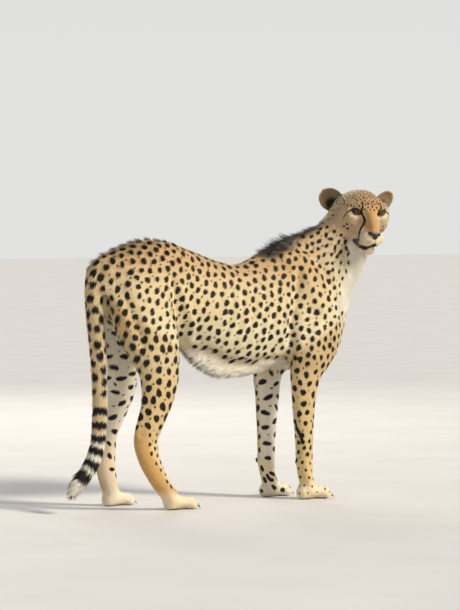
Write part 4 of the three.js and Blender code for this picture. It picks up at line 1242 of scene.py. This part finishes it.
def grown(roots, pick, shape):
    """Triangles, points, normals, colours and flat places of the picked tufts, all of one shape."""
    count = len(pick)
    at, normal, lie = roots.at[pick], roots.normal[pick], roots.lie[pick]
    length = roots.length[pick] * MM * RANDOM.uniform(0.72, 1.22, count)
    width = roots.width[pick] * MM * RANDOM.uniform(0.8, 1.2, count)
    rise = np.radians(np.clip(roots.rise[pick] * RANDOM.uniform(0.55, 1.4, count), 3, 60))
    yaw = RANDOM.normal(0, YAW, count)[:, None]
    ahead = lie * np.cos(yaw) + np.cross(normal, lie) * np.sin(yaw)
    across = np.cross(normal, ahead)
    sway = RANDOM.normal(0, SWAY, count)
    raised = roots.stand[pick] * ramp(0.5, -0.5, roots.mark[pick])
    length = length * (1 + STAND_LENGTH * raised)
    rise = rise + STAND_RISE * raised
    hang = roots.hang[pick]
    outward = np.zeros_like(at)
    outward[:, 1] = np.sign(in_body(at)[:, 1])
    outward[:, 2] = 1.1
    shown = unit(mix(normal, outward, hang * 0.85))
    rings, ring_normals, painted_root_shade, along = [], [], [], []

    def path(t):
        forward = (length * t * np.cos(rise))[:, None] * ahead
        up = (length * np.sin(rise) * t * (1.25 - 0.25 * t))[:, None] * normal
        aside = (length * sway * math.sin(math.pi * t))[:, None] * across
        place = at + forward + up + aside + roots.pull[pick] * t
        place[:, 2] -= length * hang * 0.15 * t * t
        return place

    for t, share in shape:
        centre = path(t) - (0.5 * MM if t == 0 else 0) * normal
        half = (width * share / 2)[:, None] * across
        ridge = (width * share * 0.34)[:, None] * normal
        rings += [centre - half, centre + half, centre + ridge]
        ring_normals += [unit(shown - 0.35 * across), unit(shown + 0.35 * across), shown]
        # painted shade and light along each tuft: darker at its root, where the coat shades it, lighter
        # towards its tip
        painted_root_shade += [0.86 + 0.2 * t] * 2 + [0.9 + 0.2 * t]
        along += [t] * 3
    rings.append(path(1.0))
    ring_normals.append(unit(shown + 0.25 * ahead))
    painted_root_shade.append(1.08)
    along.append(1.0)
    faces = [(0, 2, 1)]
    last = 3 * (len(shape) - 1)
    sides = ((0, 2), (2, 1), (1, 0))
    for a in range(0, last, 3):
        for i, j in sides:
            faces += [(a + i, a + j, a + 3 + j), (a + i, a + 3 + j, a + 3 + i)]
    faces += [(last + i, last + j, last + 3) for i, j in sides]
    beside = [-0.5, 0.5, 0.0] * len(shape) + [0.0]
    patch = np.stack([beside, np.array(along) - 0.5], axis=1) * TUFT_PATCH
    # the tufts' colours, each with its painted shade and light along it
    colours = np.clip(tuft_colours(roots, pick)[:, None, :] * np.array(painted_root_shade)[None, :, None], 0, 1)
    flat = roots.flat[pick][:, None, :] + patch[None]
    return np.array(faces)[:, ::-1], np.stack(rings, axis=1), np.stack(ring_normals, axis=1), colours, flat


def tuft_mesh(name, batches):
    """One mesh of several batches of grown tufts."""
    tris, start = [], 0
    for faces, points, *_ in batches:
        count, size = points.shape[:2]
        tris.append((faces[None] + start + np.arange(count)[:, None, None] * size).reshape(-1, 3))
        start += count * size
    tris = np.concatenate(tris).astype(np.int32)
    points, normals, colours, flat = (
        np.concatenate([batch[k].reshape(-1, batch[k].shape[-1]) for batch in batches]) for k in range(1, 5)
    )
    mesh = bpy.data.meshes.new(name)
    mesh.vertices.add(len(points))
    mesh.vertices.foreach_set("co", points.ravel())
    mesh.loops.add(len(tris) * 3)
    mesh.loops.foreach_set("vertex_index", tris.ravel())
    mesh.polygons.add(len(tris))
    mesh.polygons.foreach_set("loop_start", np.arange(0, len(tris) * 3, 3, dtype=np.int32))
    mesh.polygons.foreach_set("use_smooth", np.ones(len(tris), bool))
    mesh.update(calc_edges=True)
    set_attribute(mesh, "colour", colours)
    set_bake_map(mesh, flat[tris.ravel()])
    mesh.normals_split_custom_set_from_vertices(normals)
    return mesh


def grow_coat(coat, marks, flat, material):
    """Grows the tufts of each group, in as many pieces as MOST_TRIANGLES asks for."""
    roots = Roots(coat, marks, flat)
    kind = np.digitize(roots.length, [SHORT, LONG])
    for group, starts in GROUPS.items():
        mine = np.isin(roots.label, [i for i, n in enumerate(coat.skin.names) if n.startswith(starts)])
        pieces, triangles = [[]], 0
        for k, shape in enumerate(SHAPES):
            picks = np.flatnonzero(mine & (kind == k))
            each = 4 + 6 * (len(shape) - 1)
            while len(picks):
                room = (MOST_TRIANGLES - triangles) // each
                take, picks = picks[:room], picks[room:]
                if len(take):
                    pieces[-1].append(grown(roots, take, shape))
                    triangles += len(take) * each
                if len(picks):
                    pieces.append([])
                    triangles = 0
        for number, batches in enumerate(pieces, 1):
            mesh = tuft_mesh(f"coat_{group}", batches)
            new_object(f"coat_{group}_{number}", mesh, material)


# ---------- materials ----------
class Nodes:
    """Makes a material's nodes and joins them."""

    def __init__(self, name):
        self.material = bpy.data.materials.new(name)
        self.material.use_nodes = True
        self.tree = self.material.node_tree
        self.tree.nodes.clear()
        self.shader = self.add("BsdfPrincipled")
        output = self.add("OutputMaterial")
        self.feed(output.inputs["Surface"], self.shader.outputs["BSDF"])

    def feed(self, socket, value):
        """Gives a socket a number or a colour, or joins another node's output to it."""
        if isinstance(value, (int, float)):
            socket.default_value = value
        elif isinstance(value, (tuple, np.ndarray)):
            socket.default_value = (*value, 1.0)
        else:
            self.tree.links.new(value, socket)

    def add(self, kind, inputs=(), **settings):
        """A new node with its settings, and with what feeds the named or numbered sockets."""
        node = self.tree.nodes.new("ShaderNode" + kind)
        for key, value in settings.items():
            setattr(node, key, value)
        for key, value in dict(inputs).items():
            self.feed(node.inputs[key], value)
        return node

    def set(self, **values):
        for key, value in values.items():
            self.feed(self.shader.inputs[key.replace("_", " ")], value)

    def attribute(self, name, output="Color"):
        return self.add("Attribute", attribute_name=name).outputs[output]

    def noise(self, scale, detail=3.0, stretch=None):
        spot = self.add("TexCoord").outputs["Object"]
        if stretch:
            mapping = self.add("Mapping", {"Vector": spot})
            mapping.inputs["Scale"].default_value = stretch
            spot = mapping.outputs["Vector"]
        return self.add("TexNoise", {"Scale": scale, "Detail": detail, "Vector": spot}).outputs["Fac"]

    def remap(self, value, low, high, to_low, to_high):
        inputs = {"Value": value, "From Min": low, "From Max": high, "To Min": to_low, "To Max": to_high}
        return self.add("MapRange", inputs).outputs["Result"]

    def maths(self, operation, *values):
        return self.add("Math", enumerate(values), operation=operation).outputs[0]

    def blend(self, share, a, b, kind="MIX"):
        return self.add("Mix", {0: share, 6: a, 7: b}, data_type="RGBA", blend_type=kind).outputs[2]

    def bump(self, height, strength, distance):
        node = self.add("Bump", {"Strength": strength, "Distance": distance, "Height": height})
        self.set(Normal=node.outputs["Normal"])


def fur_material():
    """Hair: the tuft's colour attribute, with painted shade at its root and painted light at its tip, a
    little uneven, with a soft sheen.
    """
    m = Nodes("fur")
    shade = m.remap(m.noise(320.0, 2.0), 0.3, 0.7, 0.86, 1.1)
    m.set(Base_Color=m.blend(1.0, m.attribute("colour"), shade, "MULTIPLY"))
    m.set(Roughness=m.remap(m.noise(90.0), 0.3, 0.7, 0.5, 0.72))
    m.set(Specular_IOR_Level=0.28, Sheen_Weight=0.12, Sheen_Roughness=0.4)
    return m.material


def skin_material():
    """The short coat close to the skin: its colour and marks, with fine grain and bump."""
    m = Nodes("short_coat")
    edge = m.maths("ADD", m.attribute("mark", "Fac"), m.remap(m.noise(700.0, 2.0), 0.2, 0.8, -1.4, 1.4))
    inside = m.remap(edge, -0.6, 0.6, 1.0, 0.0)
    grain = m.noise(420.0, 4.0, (0.35, 1.0, 1.0))
    coat = m.blend(1.0, m.attribute("base"), m.remap(grain, 0.25, 0.75, 0.74, 1.06), "MULTIPLY")
    bare = m.attribute("bare", "Fac")
    m.set(Base_Color=m.blend(bare, m.blend(inside, coat, LIGHT["mark"]), LIGHT["black"]))
    m.set(Roughness=m.remap(bare, 0.0, 1.0, 0.75, 0.36))
    m.bump(grain, 0.5, 0.0012)
    m.set(Specular_IOR_Level=0.3, Sheen_Weight=0.1, Sheen_Roughness=0.5)
    return m.material


def eye_material():
    """An amber iris round a round pupil, dark at its rim, with the upper lid's shadow painted on its top,
    under a wet surface.
    """
    m = Nodes("eye")
    ahead, aside, up = m.add("SeparateXYZ", {"Vector": m.attribute("local", "Vector")}).outputs
    radius = m.maths("SQRT", m.maths("ADD", m.maths("POWER", aside, 2.0), m.maths("POWER", up, 2.0)))
    angle = m.maths("ARCTAN2", up, aside)
    spokes = {"X": m.maths("MULTIPLY", angle, 7.0), "Y": m.maths("MULTIPLY", radius, 0.22)}
    inputs = {"Scale": 1.0, "Detail": 4.0, "Vector": m.add("CombineXYZ", spokes).outputs["Vector"]}
    streak = m.add("TexNoise", inputs, noise_dimensions="2D").outputs["Fac"]
    streaks = m.remap(streak, 0.3, 0.7, 0.0, 1.0)
    amber = m.blend(streaks, linear(98, 54, 20), linear(156, 94, 36))
    inner = m.remap(radius, 3.6, 6.2, 1.0, 0.0)
    amber = m.blend(m.maths("MULTIPLY", inner, 0.4), amber, linear(178, 122, 52))
    # painted shadow of the upper lid: the iris darker towards its top
    amber = m.blend(1.0, amber, m.remap(up, -2.0, 6.0, 1.0, 0.42), "MULTIPLY")
    iris = m.blend(m.remap(radius, IRIS_RADIUS - 1.6, IRIS_RADIUS, 0.0, 1.0), amber, linear(40, 22, 10))
    white = m.remap(radius, IRIS_RADIUS - 0.1, IRIS_RADIUS + 0.7, 0.0, 1.0)
    pupil = m.remap(radius, PUPIL_RADIUS - 0.25, PUPIL_RADIUS + 0.25, 1.0, 0.0)
    pupil = m.maths("MULTIPLY", pupil, m.remap(ahead, -0.1, 0.1, 0.0, 1.0))
    m.set(Base_Color=m.blend(pupil, m.blend(white, iris, linear(70, 46, 34)), (0.002, 0.002, 0.002)))
    m.bump(streaks, 0.15, 0.0002)
    m.set(Roughness=0.1, Specular_IOR_Level=0.15, Coat_Weight=0.22, Coat_Roughness=0.02)
    return m.material


def two_toned(name, dark, light, scale, detail=3.0, stretch=None):
    """A material between two colours by a noise, with the noise and the lighter colour's share."""
    m = Nodes(name)
    grain = m.noise(scale, detail, stretch)
    share = m.remap(grain, 0.3, 0.7, 0.0, 1.0)
    m.set(Base_Color=m.blend(share, linear(*dark), linear(*light)))
    return m, grain, share


def nose_material():
    """Black pebbled leather, a little moist."""
    m, _, shade = two_toned("nose_leather", (22, 17, 16), (46, 36, 34), 120.0)
    cells = m.add("TexVoronoi", {"Scale": 900.0, "Vector": m.add("TexCoord").outputs["Object"]})
    m.set(Roughness=m.remap(shade, 0.0, 1.0, 0.3, 0.5), Specular_IOR_Level=0.5)
    m.bump(cells.outputs["Distance"], 0.5, 0.0006)
    return m.material


def claw_material():
    """Dark horn, paler and scratched in places."""
    m, grain, _ = two_toned("horn", (52, 42, 34), (108, 92, 74), 160.0, 4.0, (0.3, 1.0, 1.0))
    m.set(Roughness=m.remap(grain, 0.3, 0.7, 0.28, 0.5))
    m.bump(grain, 0.3, 0.0004)
    return m.material


def whisker_material():
    m, _, _ = two_toned("whisker", (226, 214, 196), (255, 250, 240), 60.0)
    m.set(Roughness=0.4, Specular_IOR_Level=0.4)
    return m.material


def floor_material():
    m, _, _ = two_toned("floor", (214, 210, 204), (220, 216, 210), 3.0)
    m.set(Roughness=0.85, Specular_IOR_Level=0.2)
    return m.material


# ---------- the pieces ----------
def mesh_from(name, points, faces):
    mesh = bpy.data.meshes.new(name)
    mesh.from_pydata([tuple(p) for p in points], [], [tuple(f) for f in faces])
    mesh.polygons.foreach_set("use_smooth", [True] * len(mesh.polygons))
    mesh.update()
    return mesh


def sphere(rings, around):
    """Unit directions and faces of a closed ball whose pole points along X."""
    points = [(1.0, 0.0, 0.0)]
    for i in range(1, rings):
        a = math.pi * i / rings
        for j in range(around):
            b = 2 * math.pi * j / around
            points.append((math.cos(a), math.sin(a) * math.cos(b), math.sin(a) * math.sin(b)))
    points.append((-1.0, 0.0, 0.0))
    faces = [(0, 1 + j, 1 + (j + 1) % around) for j in range(around)]
    for i in range(rings - 2):
        a, b = 1 + i * around, 1 + (i + 1) * around
        faces += [(a + j, b + j, b + (j + 1) % around, a + (j + 1) % around) for j in range(around)]
    last = 1 + (rings - 2) * around
    faces += [(len(points) - 1, last + (j + 1) % around, last + j) for j in range(around)]
    return np.array(points), faces


def add_eye(side, node, material):
    """The eyeball with the bulge of its cornea, looking ahead and a little outward."""
    points, faces = sphere(48, 64)
    local = points * (EYE_RADIUS - 0.3)
    off_axis = np.hypot(local[:, 1], local[:, 2])
    local[:, 0] += 1.1 * ramp(IRIS_RADIUS + 1.5, 2, off_axis) * (local[:, 0] > 0)
    spun = local @ turned("z", EYE_TURN * side).T
    mesh = mesh_from(node + "_ball", from_head(spun + eye_centre(side)), faces)
    set_attribute(mesh, "local", local, "FLOAT_VECTOR")
    new_object(node + "_ball", mesh, material, [node])


def add_nose(material):
    """The pad: broad above, narrow towards the lip, with a nostril curling round each side."""
    d, faces = sphere(64, 80)
    low = ramp(0.25, -1, d[:, 2])
    p = d * [15.0, 21.0, 15.5]
    p[:, 1] *= 1 - 0.62 * low
    p[:, 0] += 5.0 * low
    p[:, 2] *= 1 - 0.3 * ramp(0.2, 1, d[:, 2])
    for side in BOTH:
        for (f, l, u), radius, depth in NOSTRIL:
            p -= (depth * bell(gap_from(p, [f, side * l, u]), radius))[:, None] * d
        p += (1.5 * bell(gap_from(p, [9, side * 15, 5]), 5))[:, None] * d
    p[:, 0] -= 1.8 * bell(p[:, 1], 1.2) * ramp(3, -6, p[:, 2]) * (d[:, 0] > 0)
    mesh = mesh_from("nose_pad", from_head(p + NOSE_PLACE), faces)
    new_object("nose_pad", mesh, material, ["nose"])


def add_whiskers(material):
    """Fine stiff hairs from the pads beside the nose and over the eyes."""
    points, faces = [], []
    for side in BOTH:
        roots = [((50 - 6 * k, 20 + 1.6 * k, -62 - 6.5 * row), row) for row in range(4) for k in range(4)]
        roots += [((-4 - 4 * k, 36 + 6 * k, 22), -1) for k in range(3)]
        for (f, l, u), row in roots:
            length = RANDOM.uniform(38, 62) if row >= 0 else RANDOM.uniform(22, 34)
            heading = np.array([0.15 - 0.4 * RANDOM.random(), 1.0, 0.1 - 0.22 * row])
            if row < 0:
                heading = np.array([0.5, 0.5, 1.0])
            heading = unit(heading + RANDOM.normal(0, 0.08, 3)) * [1, side, 1]
            droop = np.array([-0.35, 0, -0.4]) * length
            start = len(points)
            for i in range(WHISKER_STEPS + 1):
                t = i / WHISKER_STEPS
                centre = np.array([f, side * l, u]) + heading * length * t + droop * t * t * 0.5
                for k in range(3):
                    a = 2 * math.pi * k / 3
                    offset = np.array([math.cos(a), 0.3 * math.cos(a), math.sin(a)])
                    points.append(centre + offset * WHISKER_RADIUS * (1 - 0.85 * t))
                if i:
                    b = start + 3 * i
                    faces += [(b - 3 + k, b - 3 + (k + 1) % 3, b + (k + 1) % 3, b + k) for k in range(3)]
            faces += [(start + 2, start + 1, start), (b, b + 1, b + 2)]
    new_object("whiskers", mesh_from("whiskers", from_head(np.array(points)), faces), material)


def add_skin(coat, marks, flat, material):
    mesh = coat.skin.mesh
    p = coat.head
    bare = np.maximum(ramp(0.6, -0.6, lip_gap(p)), ramp(5, 2, coat.body[:, 2]))
    for side in BOTH:
        sd = lid_opening(p - eye_centre(side), side)[0]
        bare = np.maximum(bare, ramp(3.6, 2.6, sd) * (p[:, 0] > -32))
    set_attribute(mesh, "base", coat.base)
    set_attribute(mesh, "mark", np.clip(marks(coat.skin.points), -FAR, FAR), "FLOAT")
    set_attribute(mesh, "bare", bare, "FLOAT")
    mesh.polygons.foreach_set("use_smooth", [True] * len(mesh.polygons))
    set_bake_map(mesh, flat)
    new_object("skin", mesh, material, FLESH + EARS)


# ---------- camera, light and floor ----------
def placed(name, data, place, ahead):
    """An object that looks a given way from its place."""
    made = bpy.data.objects.new(name, data)
    made.location = place
    made.rotation_euler = Vector(ahead).to_track_quat("-Z", "Y").to_euler()
    bpy.context.scene.collection.objects.link(made)
    return made


def add_camera():
    data = bpy.data.cameras.new("camera")
    data.lens = CAMERA_LENS
    data.clip_end = 100
    pitch = math.radians(CAMERA_PITCH)
    ahead = (CAMERA_HEADING[0] * math.cos(pitch), CAMERA_HEADING[1] * math.cos(pitch), -math.sin(pitch))
    bpy.context.scene.camera = placed("camera", data, BETWEEN_EYES + CAMERA_FROM_EYES, ahead)


def add_studio():
    scene = bpy.context.scene
    scene.view_settings.view_transform = "Standard"
    world = bpy.data.worlds.new("studio")
    world.use_nodes = True
    nodes, links = world.node_tree.nodes, world.node_tree.links
    place = nodes.new("ShaderNodeTexCoord")
    split = nodes.new("ShaderNodeSeparateXYZ")
    ramp = nodes.new("ShaderNodeValToRGB")
    links.new(place.outputs["Generated"], split.inputs["Vector"])
    links.new(split.outputs["Z"], ramp.inputs["Fac"])
    links.new(ramp.outputs["Color"], nodes["Background"].inputs["Color"])
    for stop, (height, colour) in zip(ramp.color_ramp.elements, SKY):
        stop.position = height
        stop.color = (*colour, 1)
    nodes["Background"].inputs["Strength"].default_value = 0.95
    scene.world = world
    for name, kind, place, ahead, settings in LIGHTS:
        light = bpy.data.lights.new(name, kind)
        for key, value in settings.items():
            setattr(light, key, value)
        placed(name, light, place, ahead)
    corners = [(-40, -40, 0), (40, -40, 0), (40, 40, 0), (-40, 40, 0)]
    floor = bpy.data.objects.new("floor", mesh_from("floor", corners, [(0, 1, 2, 3)]))
    floor.data.materials.append(floor_material())
    scene.collection.objects.link(floor)


# ---------- the whole ----------
IRIS_RADIUS = 9.5  # mm
PUPIL_RADIUS = 3.5
EYE_TURN = 7  # degrees that each eye looks outward
# The hollows along each nostril: the place from the pad's middle, the radius and the depth, mm.
NOSTRIL = [((13, 8.0, -3), 2.7, 4.5), ((10, 12.0, -3.5), 2.6, 4.5), ((7, 15.5, -1), 2.2, 3.0)]
WHISKER_STEPS = 6
WHISKER_RADIUS = 0.24
CAMERA_LENS = 165.25  # mm
CAMERA_FROM_EYES = np.array([-5.3614, -6.6629, -0.0130])
CAMERA_HEADING = (0.5878, 0.8090)
CAMERA_PITCH = 1.841  # degrees down
SKY = ((0.05, (0.80, 0.80, 0.79)), (0.6, (0.42, 0.45, 0.50)))  # its colours from below to above
LIGHTS = (
    ("key", "SUN", (0, 0, 0), (-0.44, 0.75, -0.58),
     {"energy": 3.5, "angle": math.radians(14), "color": (1.0, 0.94, 0.84)}),
    ("back", "AREA", (1.5, 4.0, 3.0), (-1.5, -4.0, -2.5),
     {"shape": "DISK", "size": 2.5, "energy": 60, "color": (1.0, 0.95, 0.88)}),
)

add_camera()
add_studio()
skin = Skin()
carve(skin)
coat = Coat(skin)
coat.settle_lengths()
skin.sink(coat.depth * (coat.share["ear"] < 0.5))
coat.base = colour_coat(coat)
marks = Marks(coat)
flat = unwrap(skin)
add_skin(coat, marks, flat, skin_material())
grow_coat(coat, marks, flat, fur_material())
wet_eye = eye_material()
for side, node in zip(BOTH, EYES):
    add_eye(side, node, wet_eye)
add_nose(nose_material())
add_whiskers(whisker_material())
horn = claw_material()
for name in CLAWS:
    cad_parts[name].data.materials.clear()
    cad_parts[name].data.materials.append(horn)

bpy.context.view_layer.update()
